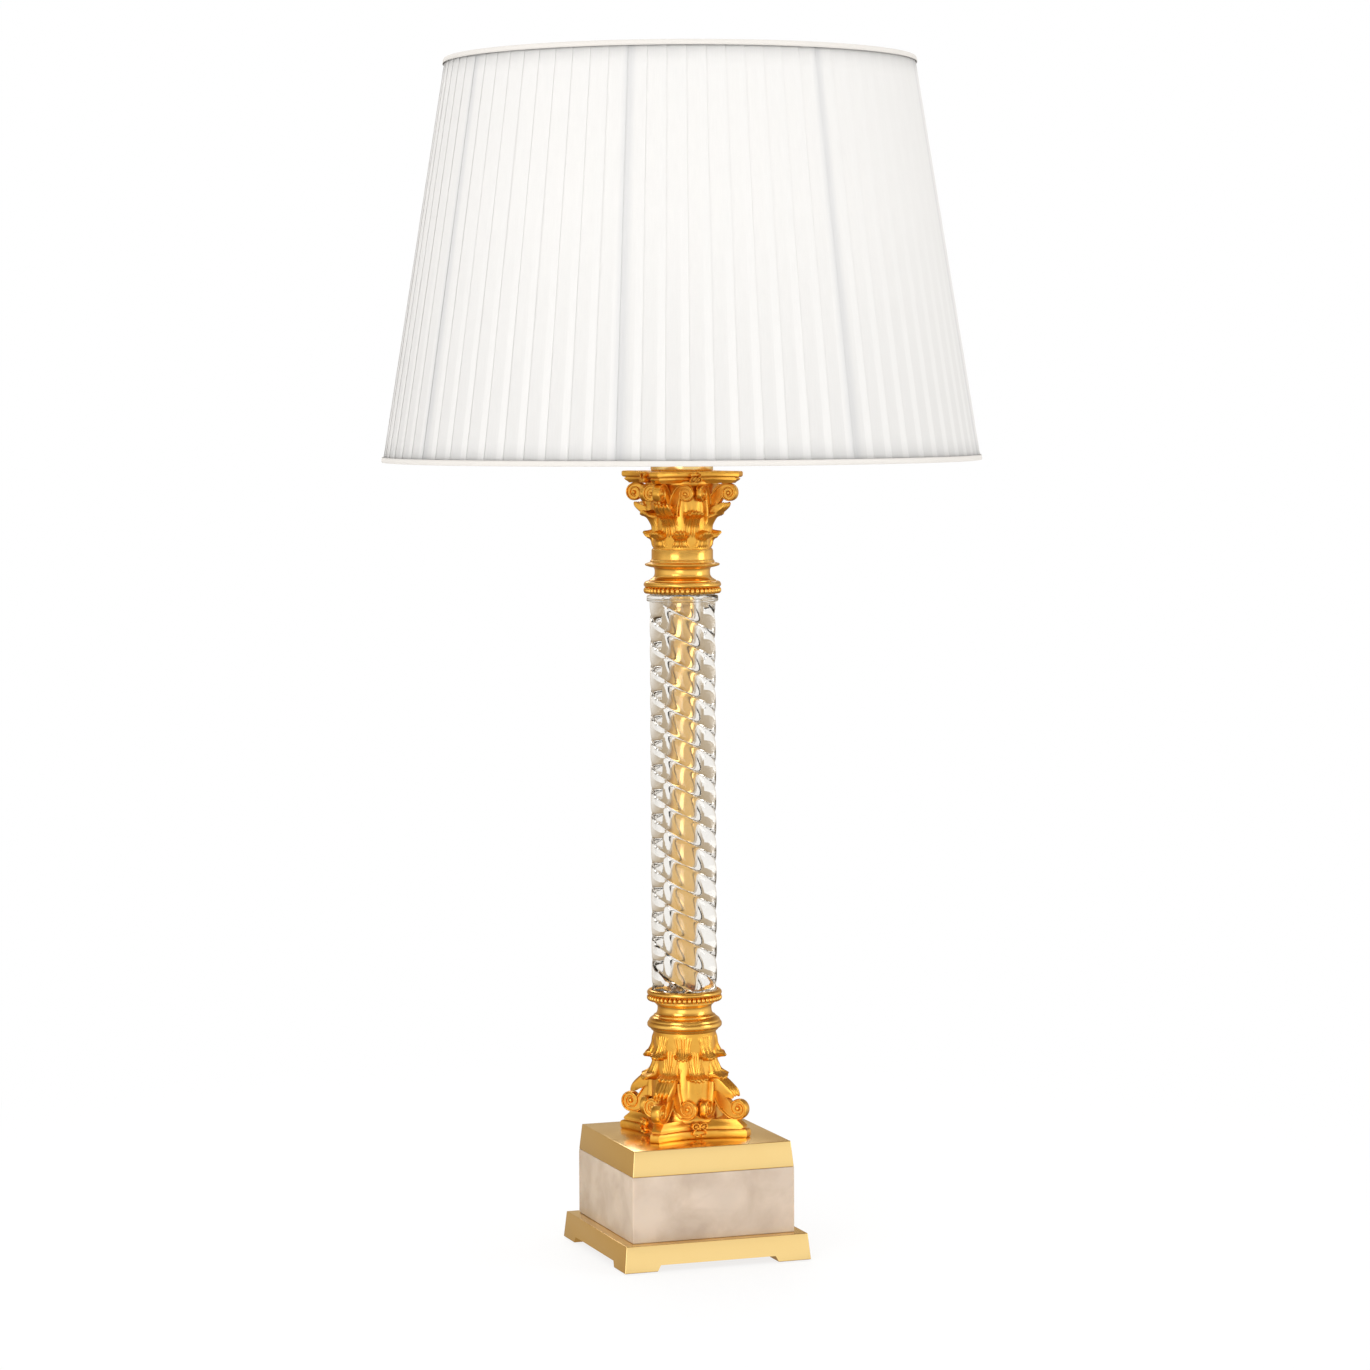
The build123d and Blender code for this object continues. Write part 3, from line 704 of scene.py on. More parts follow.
@kept
def plain(name, colour, roughness, metallic, grain):
    """A plain finish with fine grain, for the small and hidden pieces."""
    material, tree, shader = surface(name, Metallic=metallic)
    marks = place_group(tree, grain_group(), object_coordinates(tree), Fine_Scale=1200.0, Slow_Scale=120.0)
    dark = tuple(channel * 0.88 for channel in colour)
    tone = tone_between(tree, marks.outputs["Tone"], 0.3, 0.7, dark, colour)
    tree.links.new(tone, shader.inputs["Base Color"])
    rough = value_between(tree, marks.outputs["Tone"], roughness * 0.8, roughness * 1.2, 0.3, 0.7)
    tree.links.new(rough, shader.inputs["Roughness"])
    bump(tree, shader, marks.outputs["Height"], grain, 0.1 * MM)
    return material


def steel():
    return plain("zinc_steel", (0.62, 0.62, 0.64), 0.3, 1.0, 0.05)


def enamel():
    return plain("white_enamel", (0.82, 0.81, 0.79), 0.35, 0.0, 0.02)


def porcelain():
    return plain("porcelain", (0.83, 0.82, 0.79), 0.15, 0.0, 0.01)


def moulded():
    return plain("moulded_white", (0.8, 0.79, 0.76), 0.32, 0.0, 0.04)


def felt():
    return plain("felt", (0.03, 0.032, 0.03), 0.95, 0.0, 0.9)


def black_plastic():
    return plain("black_plastic", (0.02, 0.02, 0.02), 0.45, 0.0, 0.1)


@kept
def soft_plastic():
    """Clear soft washers under and over the glass."""
    material, tree, shader = surface(
        "soft_washer", Base_Color=(0.9, 0.9, 0.88), Roughness=0.12, IOR=1.45, Transmission_Weight=1.0
    )
    marks = place_group(tree, grain_group(), object_coordinates(tree), Fine_Scale=400.0, Slow_Scale=60.0)
    bump(tree, shader, marks.outputs["Height"], 0.1, 0.05 * MM)
    return material


@kept
def frosted():
    """The bulb's glass, white inside and softly lit."""
    material, tree, shader = surface(
        "frosted_glass", Base_Color=(0.9, 0.89, 0.87), Roughness=0.35, Coat_Weight=0.4,
        Emission_Color=(1.0, 0.86, 0.7), Emission_Strength=9.0,
    )
    marks = place_group(tree, grain_group(), object_coordinates(tree), Fine_Scale=800.0, Slow_Scale=40.0)
    bump(tree, shader, marks.outputs["Height"], 0.03, 0.05 * MM)
    return material


# ---------------------------------------------------------------------------------------------
# Stage
# ---------------------------------------------------------------------------------------------

CAMERA_PLACE = (-1.0344, -2.9158, 0.655)
CAMERA_TURN = -19.53
CAMERA_PAN = -0.032
CAMERA_TILT = 4.144
CAMERA_ROLL = -0.283
CAMERA_LENS = 107.92

SKY_TINT = (1.0, 0.992, 0.982)
SKY_STRENGTH = 1.04
WHITE = (1.0, 1.0, 1.0)
MIRRORED_CEILING = (0.36, 0.27, 0.17)
MIRRORED_BACK = (0.5, 0.4, 0.27)
PALE_BAND, DARK_BAND = (0.96, 0.93, 0.88), (0.46, 0.39, 0.3)
FLOOR_DROP = 0.2 * MM
# Each lamp: its name, place, the height on the column that it faces, its size and its power in watts
LAMPS = (
    ("key_light", (-2.2, -2.0, 2.0), 0.5, (1.6, 1.6), 30),
    ("side_light", (2.2, -1.4, 1.2), 0.4, (1.0, 1.8), 15),
    ("low_light", (-0.8, -1.3, 0.12), 0.5, (0.7, 0.7), 2.6),
    ("back_light", (0.4, 2.4, 1.8), 0.6, (1.6, 1.2), 18),
)


def white_to_the_camera(tree, shown):
    """Mixes a plain white glow over a surface or world for camera, mirror and glass rays."""
    rays = tree.nodes.new("ShaderNodeLightPath")
    glossy = maths(tree, "MAXIMUM", rays.outputs["Is Camera Ray"], rays.outputs["Is Glossy Ray"])
    seen = maths(tree, "MAXIMUM", glossy, rays.outputs["Is Transmission Ray"])
    mix = tree.nodes.new("ShaderNodeMixShader")
    tree.links.new(seen, mix.inputs[0])
    tree.links.new(shown, mix.inputs[1])
    return rays, mix


def lamp(name, place, faced, size, power):
    """A rectangular lamp that faces a height on the column."""
    light = bpy.data.lights.new(name, "AREA")
    light.shape = "RECTANGLE"
    light.size, light.size_y = size
    light.energy = power
    piece = bpy.data.objects.new(name, light)
    bpy.context.scene.collection.objects.link(piece)
    piece.location = place
    piece.rotation_euler = (Vector((0, 0, faced)) - Vector(place)).to_track_quat("-Z", "Y").to_euler()


def camera():
    """A camera at the photograph's place and angle, turned about its own axes."""
    angles = (CAMERA_TURN, CAMERA_PAN, CAMERA_TILT, CAMERA_ROLL)
    turn, pan, tilt, roll = (radians(angle) for angle in angles)
    ahead = Vector((-sin(turn + pan) * cos(tilt), cos(turn + pan) * cos(tilt), -sin(tilt)))
    right = ahead.cross(Vector((0, 0, 1))).normalized()
    up = right.cross(ahead)
    across = right * cos(roll) + up * sin(roll)
    upright = up * cos(roll) - right * sin(roll)
    data = bpy.data.cameras.new("photo_camera")
    data.lens = CAMERA_LENS
    data.sensor_width = 36
    data.clip_end = 50
    piece = bpy.data.objects.new("photo_camera", data)
    bpy.context.scene.collection.objects.link(piece)
    facing = Matrix((across, upright, -ahead)).transposed().to_4x4()
    piece.matrix_world = Matrix.Translation(CAMERA_PLACE) @ facing
    bpy.context.scene.camera = piece


def world():
    """Plain white light. Metal mirrors a dimmer ceiling and back, and glass shows soft upright bands."""
    place = bpy.data.worlds.new("studio")
    bpy.context.scene.world = place
    place.use_nodes = True
    tree = place.node_tree
    light = tree.nodes["Background"]
    light.inputs["Color"].default_value = (*SKY_TINT, 1)
    light.inputs["Strength"].default_value = SKY_STRENGTH
    rays, mix = white_to_the_camera(tree, light.outputs[0])
    where = tree.nodes.new("ShaderNodeTexCoord")
    split = tree.nodes.new("ShaderNodeSeparateXYZ")
    tree.links.new(where.outputs["Generated"], split.inputs[0])
    up = maths(tree, "ABSOLUTE", split.outputs["Z"])
    ceiling = tone_between(tree, up, 0.12, 0.6, WHITE, MIRRORED_CEILING)
    back = tone_between(tree, split.outputs["Y"], -0.35, 0.7, WHITE, MIRRORED_BACK)
    turn = maths(tree, "ARCTAN2", split.outputs["Y"], split.outputs["X"])
    waves = maths(tree, "SINE", maths(tree, "MULTIPLY", turn, 9.0))
    bands = tone_between(tree, waves, -0.4, 0.7, PALE_BAND, DARK_BAND)
    mirrored = blended(tree, ceiling, back)
    through = blended(tree, ceiling, bands)
    seen = blended(tree, (*WHITE, 1), through, rays.outputs["Is Transmission Ray"], "MIX")
    shown = blended(tree, seen, mirrored, rays.outputs["Is Glossy Ray"], "MIX")
    room = tree.nodes.new("ShaderNodeBackground")
    tree.links.new(shown, room.inputs["Color"])
    tree.links.new(room.outputs[0], mix.inputs[2])
    tree.links.new(mix.outputs[0], tree.nodes["World Output"].inputs["Surface"])


def floor():
    """A pale floor that keeps the lamp's shadow and turns white away from it."""
    piece = primitive("floor", bpy.ops.mesh.primitive_plane_add, size=6, location=(0, 0, -FLOOR_DROP))
    material, tree, shader = surface("pale_floor", Roughness=0.6)
    marks = place_group(tree, grain_group(), object_coordinates(tree), Fine_Scale=60.0, Slow_Scale=4.0)
    tint = tone_between(tree, marks.outputs["Tone"], 0.2, 0.8, (0.84, 0.84, 0.84), (0.88, 0.88, 0.88))
    tree.links.new(tint, shader.inputs["Base Color"])
    _, mix = white_to_the_camera(tree, shader.outputs[0])
    glow = node(tree, "ShaderNodeEmission", Strength=1.0)
    length = node(tree, "ShaderNodeVectorMath", operation="LENGTH")
    tree.links.new(object_coordinates(tree), length.inputs[0])
    share = tree.nodes.new("ShaderNodeMixShader")
    tree.links.new(value_between(tree, length.outputs["Value"], 0.8, 1.0, 0.1, 0.9), share.inputs[0])
    tree.links.new(shader.outputs[0], share.inputs[1])
    tree.links.new(glow.outputs[0], share.inputs[2])
    tree.links.new(share.outputs[0], mix.inputs[2])
    tree.links.new(mix.outputs[0], tree.nodes["Material Output"].inputs["Surface"])
    piece.data.materials.append(material)
    piece.visible_glossy = False


class LAMP_OT_stage(bpy.types.Operator):
    """Camera, soft studio light, pale floor and white surroundings."""

    bl_idname = "column_lamp.stage"
    bl_label = "Stage"

    def execute(self, context):
        camera()
        world()
        floor()
        for name, place, faced, size, power in LAMPS:
            lamp(name, place, faced, size, power)
        context.scene.view_settings.view_transform = "Standard"
        return {"FINISHED"}


# ---------------------------------------------------------------------------------------------
# Base
# ---------------------------------------------------------------------------------------------

# Sizes of the wide plate, in millimetres
PLATE_TAPER = 1.95
NOTCH_LOW, NOTCH_HIGH, NOTCH_TALL = 48.5, 45.5, 5.2
HOLLOW_LOW, HOLLOW_HIGH, HOLLOW_TALL = 45.4, 43.8, 16.0
PAD_PLACE, PAD_RECESS, PAD_DEPTH = 60.0, 14.1, 1.6
INLET_HEIGHT = 11.6


def cut_away(piece, cutter):
    """Takes one solid out of another, and removes the cutter."""
    modify(piece, "BOOLEAN", operation="DIFFERENCE", solver="EXACT", object=cutter)
    bpy.data.objects.remove(cutter)
    return piece


def rod_drill(low, high):
    """A drill for the tie rod, a little longer than the piece it goes through."""
    return primitive(
        "drill", bpy.ops.mesh.primitive_cylinder_add, vertices=48, radius=SLAB_HOLE * MM,
        depth=high - low + 2 * MM, location=(0, 0, (low + high) / 2),
    )


def inlet_drill(radius, depth, place):
    """A drill along Y for the cord's inlet. Its place is that of its middle."""
    return primitive(
        "drill", bpy.ops.mesh.primitive_cylinder_add, vertices=48, radius=radius * MM, depth=depth * MM,
        location=(0, place * MM, INLET_HEIGHT * MM), rotation=(pi / 2, 0, 0),
    )


def slab(name, half, top_half, low, high, soft):
    """A square block, drilled for the rod, that narrows upwards and has soft edges."""
    piece = primitive(
        name, bpy.ops.mesh.primitive_cube_add, size=1, location=(0, 0, (low + high) / 2),
        scale=(2 * half, 2 * half, high - low),
    )
    bpy.ops.object.mode_set(mode="EDIT")
    bpy.ops.mesh.select_mode(type="FACE")
    bpy.ops.mesh.select_all(action="DESELECT")
    bpy.ops.object.mode_set(mode="OBJECT")
    for face in piece.data.polygons:
        face.select = face.normal.z > 0.9
    bpy.ops.object.mode_set(mode="EDIT")
    bpy.ops.transform.resize(value=(top_half / half, top_half / half, 1), center_override=(0, 0, high))
    bpy.ops.object.mode_set(mode="OBJECT")
    modify(piece, "BEVEL", width=soft, segments=4, limit_method="ANGLE", angle_limit=radians(40))
    cut_away(piece, rod_drill(low, high))
    return smooth(piece, 32)


def notch_cutter(turned_over):
    """A prism across the whole base, along Y or turned over along X."""
    section = ((-NOTCH_LOW, 0.0), (NOTCH_LOW, 0.0), (NOTCH_HIGH, NOTCH_TALL), (-NOTCH_HIGH, NOTCH_TALL))
    rings = []
    for end in (-80, 80):
        ring = [(x * MM, end * MM, z * MM) for x, z in section]
        rings.append([(y, x, z) for x, y, z in ring] if turned_over else ring)
    return skin("cutter", rings)


def footed_plate():
    """The wide plate: a low notch along each side leaves four feet, and a hollow holds the wiring."""
    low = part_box("plate_feet")[0][2]
    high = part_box("bottom_plate")[1][2]
    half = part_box("plate_feet")[1][0]
    plate = slab("footed_plate", half, half - PLATE_TAPER * MM, low, high, 0.5 * MM)
    for turned_over in (False, True):
        cut_away(plate, notch_cutter(turned_over))
    corners = ((1, 1), (-1, 1), (-1, -1), (1, -1))
    hollow = [
        [(side * x * MM, side * y * MM, height * MM) for x, y in corners]
        for side, height in ((HOLLOW_LOW, -1.0), (HOLLOW_HIGH, HOLLOW_TALL))
    ]
    cut_away(plate, skin("cutter", hollow))
    pad_middle = (PAD_DEPTH - PAD_RECESS / 2) * MM
    for x in (-PAD_PLACE, PAD_PLACE):
        for y in (-PAD_PLACE, PAD_PLACE):
            recess = primitive(
                "cutter", bpy.ops.mesh.primitive_cube_add, size=PAD_RECESS * MM,
                location=(x * MM, y * MM, pad_middle),
            )
            cut_away(plate, recess)
    cut_away(plate, inlet_drill(radius=4.6, depth=40, place=60))
    cut_away(plate, inlet_drill(radius=6.05, depth=8, place=74.9))
    return smooth(plate, 32)


class LAMP_OT_base(bpy.types.Operator):
    """Footed plate, stone block, upper plate, pads, cord bush and the rod's washer and nut."""

    bl_idname = "column_lamp.base"
    bl_label = "Base"

    def execute(self, context):
        dressed(footed_plate(), "lamp_base", "gold_brass", gold("satin"), "bottom_plate", "plate_feet")
        low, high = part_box("stone_block")
        stone = slab("stone_plinth", high[0], high[0], low[2], high[2], 0.9 * MM)
        dressed(stone, "lamp_base", "pale_stone", alabaster(), "stone_block")
        low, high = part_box("base_top_plate")
        plate = slab("upper_plate", high[0], high[0] - 1.9 * MM, low[2], high[2], 0.6 * MM)
        dressed(plate, "lamp_base", "gold_brass", gold("satin"), "base_top_plate")
        set_finish(felt(), "felt_pads")
        set_finish(black_plastic(), "cord_inlet_bush")
        set_finish(steel(), "base_washer", "base_nut")
        return {"FINISHED"}


def set_finish(material, *node_names):
    """Gives the frame's nodes that keep their own shape their material."""
    for name in node_names:
        piece = frame["nodes"][name]
        if not piece.material_slots:
            piece.data.materials.append(material)
        for place in piece.material_slots:
            place.material = material


# ---------------------------------------------------------------------------------------------
# Capitals: drawn with the abacus's outer face at height 0 and the bell rising from it
# ---------------------------------------------------------------------------------------------


class CapitalShape:
    """The sizes in which the two capitals differ, in millimetres.

    The abacus is its half width, the bow of its sides and its thickness. The profile and the bell are
    outlines. A row of leaves is its reach, tip, root, first angle in degrees and width. The volute is
    its reach, the height of its eye and its radius, and a corner leaf its reach, tip and root.
    """

    def __init__(self, height, abacus, profile, bell, rows, volute, corner_leaf, flower):
        self.height = height
        self.half, self.bow, self.thickness = abacus
        self.profile = profile
        self.bell = bell
        self.rows = rows
        self.reach, self.eye_height, self.radius = volute
        self.corner_reach, self.corner_tip, self.corner_root = corner_leaf
        self.flower = flower


LOWER_SHAPE = CapitalShape(
    height=78.5,
    abacus=(40.3, 9.0, 13.8),
    profile=[
        (0.0, 1.0), (0.5, 0.3), (1.4, 0.0), (4.6, 0.0), (5.9, 0.4), (6.6, 1.5), (6.75, 3.0), (7.35, 3.1),
        (7.5, 2.2), (8.4, 2.1), (9.6, 2.7), (11.2, 4.2), (12.6, 5.4), (13.8, 5.9),
    ],
    bell=[(29.0, 12.0), (29.0, 14.6), (27.4, 19.0), (25.6, 26.0), (24.9, 36.0), (24.3, 58.0), (23.8, 78.5)],
    rows=[(31.6, 60.0, 77.2, 22.5, 7.0), (34.6, 44.0, 66.0, 0.0, 8.0)],
    volute=(45.0, 21.8, 8.8),
    corner_leaf=(44.5, 33.0, 54.0),
    flower=3.5,
)
UPPER_SHAPE = CapitalShape(
    height=58.5,
    abacus=(37.0, 8.0, 9.0),
    profile=[
        (0.0, 0.9), (0.4, 0.25), (1.0, 0.0), (3.2, 0.0), (4.1, 0.4), (4.6, 1.2), (4.7, 2.2), (5.2, 2.3),
        (5.3, 1.6), (6.0, 1.5), (7.0, 2.3), (8.0, 3.6), (9.0, 4.4),
    ],
    bell=[(27.5, 7.6), (27.5, 9.8), (25.6, 13.5), (23.8, 20.0), (23.1, 30.0), (22.5, 44.0), (22.0, 58.5)],
    rows=[(29.6, 46.5, 57.9, 22.5, 6.6), (32.8, 31.0, 50.0, 0.0, 7.6)],
    volute=(39.2, 16.4, 7.6),
    corner_leaf=(39.0, 25.2, 42.0),
    flower=2.6,
)


def bell_radius(shape, height):
    for (r0, t0), (r1, t1) in zip(shape.bell, shape.bell[1:]):
        if t0 <= height <= t1:
            return r0 + (r1 - r0) * (height - t0) / (t1 - t0)
    return shape.bell[-1][0]


def abacus(shape):
    """A moulded square with hollow sides and blunt corners."""
    rings = []
    steps = 20
    for height, inset in shape.profile:
        half = shape.half - inset
        tip = half - 0.13 * shape.half
        side = []
        for k in range(steps + 1):
            across = 2 * k / steps - 1
            side.append((half - shape.bow * (1 - across**2), tip * across))
        outline = []
        for _ in range(4):
            outline += side
            side = [(-y, x) for x, y in side]
        rings.append([(x * MM, y * MM, height * MM) for x, y in outline])
    return smooth(skin("abacus", rings), 38)


def bell(shape):
    """The bell, with fine upright ribs where the leaves' stems run under the scrolls."""
    outline = flowing(shape.bell, 6)
    ribs, count = 24, 192
    rings = [ring_points(TURNED_HOLE * MM, outline[0][1] * MM, count)]
    for radius, height in outline:
        share = height / shape.height
        ribbed = max(0.0, 1 - abs(share - 0.5) / 0.14)
        ring = []
        for k in range(count):
            turn = 2 * pi * k / count
            reach = radius + 0.55 * ribbed * abs(sin(ribs * turn / 2)) ** 0.5
            ring.append((reach * cos(turn) * MM, reach * sin(turn) * MM, height * MM))
        rings.append(ring)
    rings.append(ring_points(TURNED_HOLE * MM, outline[-1][1] * MM, count))
    return smooth(skin("bell", rings, loop=True), 50)


def leaf_lines(shape, reach, tip, root, drop):
    """A leaf's middle section: its shown front from root to lip, and its back, as smooth lines."""
    body = bell_radius(shape, tip)
    length = root - tip
    out = reach - body
    front = flowing(
        [
            (bell_radius(shape, root) - 0.6, root),
            (bell_radius(shape, tip + 0.8 * length) + 0.5, tip + 0.8 * length),
            (bell_radius(shape, tip + 0.55 * length) + 1.0, tip + 0.55 * length + 0.3 * drop),
            (body + 1.6 + 0.05 * out, tip + 0.32 * length + 1 + 0.65 * drop),
            (body + 1.8 + 0.22 * out, tip + 4.0 + 0.8 * drop),
            (body + 1.2 + 0.52 * out, tip + 2.4 + 0.68 * drop),
            (reach - 0.12 * drop - 0.5, tip + 1.1 + 0.3 * drop),
            (reach, tip + 0.5),
        ],
        4,
    )
    back = flowing(
        [
            (reach - 0.4, tip - 0.4), (reach - 1.2 - 0.1 * drop, tip - 0.7 + 0.05 * drop),
            (body + 0.45 * out, tip - 1.0 + 0.5 * drop), (body - 1.5, tip - 2.2 + 0.6 * drop),
        ],
        3,
    )
    return front, [*back, (body - 3.0, tip + 0.6 * drop)]


def leaf(shape, reach, tip, root, width):
    """A cast leaf: ribbed against the bell, then flaring to a wide lip with a rounded, scalloped edge."""
    drop = max(0.0, reach - bell_radius(shape, tip) - 9.0)
    front, back = leaf_lines(shape, reach, tip, root, drop)
    line = [(r, t, k / (len(front) - 1)) for k, (r, t) in enumerate(front)]
    line += [(r, t, 1.0) for r, t in back]
    line.append((bell_radius(shape, root) - 3.0, root, 0.0))
    across_steps = 30
    sections = []
    for k in range(across_steps + 1):
        u = 2 * k / across_steps - 1
        section = []
        for n, (radius, height, v) in enumerate(line):
            shown = n < len(front)
            lip = max(0.0, (v - 0.6) / 0.4)
            spread = width * (1.12 - 0.3 * sin(pi * min(1.0, v / 0.9)) ** 2 - 0.05 * lip)
            spread *= 1 - 0.02 * drop * lip
            scallop = 0.5 + 0.5 * cos(5 * pi * u)
            rib = (1.0 * abs(cos(3.5 * pi * u)) ** 0.6 - 0.5) * (1 - 0.45 * lip) if shown else 0.0
            dome = -(1.6 - 0.5 * lip) * u * u * min(1.0, 3 * v)
            rise = ((2.6 - 0.45 * drop) * u * u - (0.9 + 0.05 * drop) * scallop) * lip
            pull = 1 - (0.035 + 0.004 * drop) * lip * (1 - scallop)
            reach_here = (radius + rib + dome) * pull
            turn = u * spread / max(radius, 20.0)
            section.append((reach_here * cos(turn) * MM, reach_here * sin(turn) * MM, (height + rise) * MM))
        sections.append(section)
    return smooth(skin("leaf", sections), 60)


def plane_point(axes, along, up, across=0.0):
    """A point from a plane's axes (origin, outward, normal) and its places in millimetres."""
    origin, outward, normal = axes
    return origin + outward * (along * MM) + Vector((0, 0, up * MM)) + normal * (across * MM)


def band(name, axes, line, half_width, thickness):
    """A rounded band along a line in an upright plane. Its width and thickness are functions of the way."""
    rings = []
    last = len(line) - 1
    for k, (x, y) in enumerate(line):
        before, after = line[max(k - 1, 0)], line[min(k + 1, last)]
        along = Vector((after[0] - before[0], after[1] - before[1])).normalized()
        side = Vector((-along.y, along.x))
        wide = half_width(k / last)
        deep = thickness(k / last) / 2
        ring = []
        for n in range(12):
            angle = 2 * pi * (n + 0.5) / 12
            across = copysign(abs(cos(angle)) ** 0.6, cos(angle))
            out = copysign(abs(sin(angle)) ** 0.8, sin(angle))
            flat = Vector((x, y)) + side * (deep * out)
            ring.append(plane_point(axes, flat.x, flat.y, wide * across))
        rings.append(ring)
    return smooth(skin(name, rings), 60)


def boss(name, axes, x, y, radius, half_width):
    """A round button through a scroll's eye, domed on both sides."""
    rings = []
    for k in range(9):
        angle = -pi / 2 + pi * k / 8
        size = max(0.02, cos(angle)) ** 0.6 * radius
        turns = [2 * pi * n / 20 for n in range(20)]
        rings.append(
            [
                plane_point(axes, x + size * cos(turn), y + size * sin(turn), half_width * sin(angle))
                for turn in turns
            ]
        )
    return smooth(skin(name, rings), 60)


def plate_between(name, axes, outline, half_width):
    """A flat web of a scroll, from its outline in an upright plane."""
    return skin(
        name,
        [[plane_point(axes, x, y, across) for x, y in outline] for across in (-half_width, half_width)],
    )


def scroll_pieces(axes, radius, turns, outer_stem, inner_stem, half_width, rim):
    """A scroll: a sunk web, a raised rim along each of its two stems and its spiral, and an eye."""
    steps = 32
    spiral = []
    count = round(steps * turns)
    for k in range(count + 1):
        angle = 2 * pi * turns * k / count
        reach = (radius - 0.5 * rim) * max(0.3, 1 - 0.4 * angle / (2 * pi))
        spiral.append((reach * sin(angle), -reach * cos(angle)))
    stem = flowing([*outer_stem, spiral[0]], 6)[:-1]
    around = spiral[: round(steps * 0.72)]
    inner = flowing([around[-1], *reversed(inner_stem)], 6)
    return [
        band(
            "rim", axes, [*stem, *spiral], lambda way: half_width * (1 - 0.08 * way),
            lambda way: rim * (1 - 0.25 * way),
        ),
        band("rim", axes, inner, lambda way: 0.95 * half_width, lambda way: 0.8 * rim),
        plate_between("web", axes, [*stem, *around, *inner[1:]], 0.55 * half_width),
        boss("eye", axes, 0, 0, 0.27 * radius, 1.1 * half_width),
    ]


def volute(shape):
    """The large scroll at a corner, drawn in the plane of +X."""
    axes = (Vector((shape.reach * MM, 0, shape.eye_height * MM)), Vector((1, 0, 0)), Vector((0, 1, 0)))
    radius = shape.radius
    back = shape.reach - bell_radius(shape, 30) + 1.5
    outer_stem = [
        (-back, 1.9 * radius), (-0.93 * back, 0.95 * radius), (-0.72 * back, 0.02 * radius),
        (-0.4 * back, -0.7 * radius), (-0.16 * back, -0.92 * radius),
    ]
    inner_stem = [(-back + 1.0 * radius, 2.0 * radius), (-0.9 * back + 0.9 * radius, 1.25 * radius)]
    half_width, rim = 3.4 * radius / 8, 1.9 * radius / 8
    return joined("volute", scroll_pieces(axes, radius, 1.55, outer_stem, inner_stem, half_width, rim))


def helix(shape, side):
    """One of the two small scrolls that meet in the middle of the side on +X."""
    radius = 0.96 * shape.radius
    outward = Vector((cos(side * pi / 4), sin(side * pi / 4), 0))
    origin = Vector(
        ((shape.bell[0][0] - 1.0) * MM, -side * 0.86 * radius * MM, (shape.eye_height + 0.6) * MM)
    )
    axes = (origin, outward, outward.cross(Vector((0, 0, 1))))
    outer_stem = [
        (-2.0 * radius, 2.3 * radius), (-1.85 * radius, 1.3 * radius), (-1.45 * radius, 0.1 * radius),
        (-0.75 * radius, -0.78 * radius),
    ]
    inner_stem = [(-0.9 * radius, 2.3 * radius), (-0.85 * radius, 1.4 * radius)]
    half_width, rim = 2.1 * radius / 6, 1.5 * radius / 6
    return joined("helix", scroll_pieces(axes, radius, 1.5, outer_stem, inner_stem, half_width, rim))


def flower(shape):
    """Two small scrolls side by side on the middle of the abacus's side, with curled tails."""
    pieces = []
    seat = shape.half - shape.bow + 1.5
    size = shape.flower
    upper = 0.7 * shape.thickness
    steps = 30
    for side in (-1, 1):
        origin = Vector((seat * MM, side * 0.98 * size * MM, upper * MM))
        axes = (origin, Vector((0, side, 0)), Vector((1, 0, 0)))
        spiral = []
        for k in range(steps + 1):
            angle = 2 * pi * 1.35 * k / steps
            reach = 0.92 * size * (1 - 0.75 * k / steps)
            spiral.append((-reach * cos(angle), reach * sin(angle)))
        curl = [(-0.2 * size, -1.95 * size), (0.55 * size, -1.45 * size), (0.1 * size, -0.75 * size)]
        tail = flowing([*curl, spiral[0]], 6)[:-1]
        pieces.append(band("tail", axes, [*tail, *spiral], lambda way: 1.7, lambda way: 0.32 * size))
        pieces.append(boss("eye", axes, 0, 0, 0.3 * size, 2.0))
        pieces.append(boss("tip", axes, -0.3 * size, -2.0 * size, 0.36 * size, 1.9))
    axes = (Vector(((seat - 1.0) * MM, 0, upper * MM)), Vector((0, 1, 0)), Vector((1, 0, 0)))
    pieces.append(boss("bud", axes, 0, -0.4 * size, 0.5 * size, 1.6))
    return joined("flower", pieces)


def capital(name, shape, node_name, place):
    """A whole capital, put in its place on the column."""
    pieces = [abacus(shape), bell(shape)]
    for reach, tip, root, first, width in shape.rows:
        pieces += round_copies(leaf(shape, reach, tip, root, width), 8, first)
    corner = leaf(shape, shape.corner_reach, shape.corner_tip, shape.corner_root, 7.6 * shape.radius / 8)
    pieces += round_copies(corner, 4, 45)
    pieces += round_copies(volute(shape), 4, 45)
    for side in (-1, 1):
        pieces += round_copies(helix(shape, side), 4)
    pieces += round_copies(flower(shape), 4)
    casting = joined(name, pieces)
    casting.data.transform(place)
    casting.data.update()
    return dressed(casting, "lamp_base", "gold_brass", gold("cast"), node_name)


class LAMP_OT_capitals(bpy.types.Operator):
    """The lower capital, standing on its abacus, and the upper one, turned over."""

    bl_idname = "column_lamp.capitals"
    bl_label = "Capitals"

    def execute(self, context):
        standing = Matrix.Translation((0, 0, LOWER[0][2]))
        capital("lower_leafed_capital", LOWER_SHAPE, "lower_capital", standing)
        over = Matrix.Translation((0, 0, UPPER[1][2])) @ Matrix.Rotation(pi, 4, "X")
        capital("upper_leafed_capital", UPPER_SHAPE, "upper_capital", over)
        return {"FINISHED"}


# ---------------------------------------------------------------------------------------------
# Column: mouldings, collars and glass
# ---------------------------------------------------------------------------------------------


# Between the glass and its two soft washers, in millimetres
GLASS_PLAY = 0.15
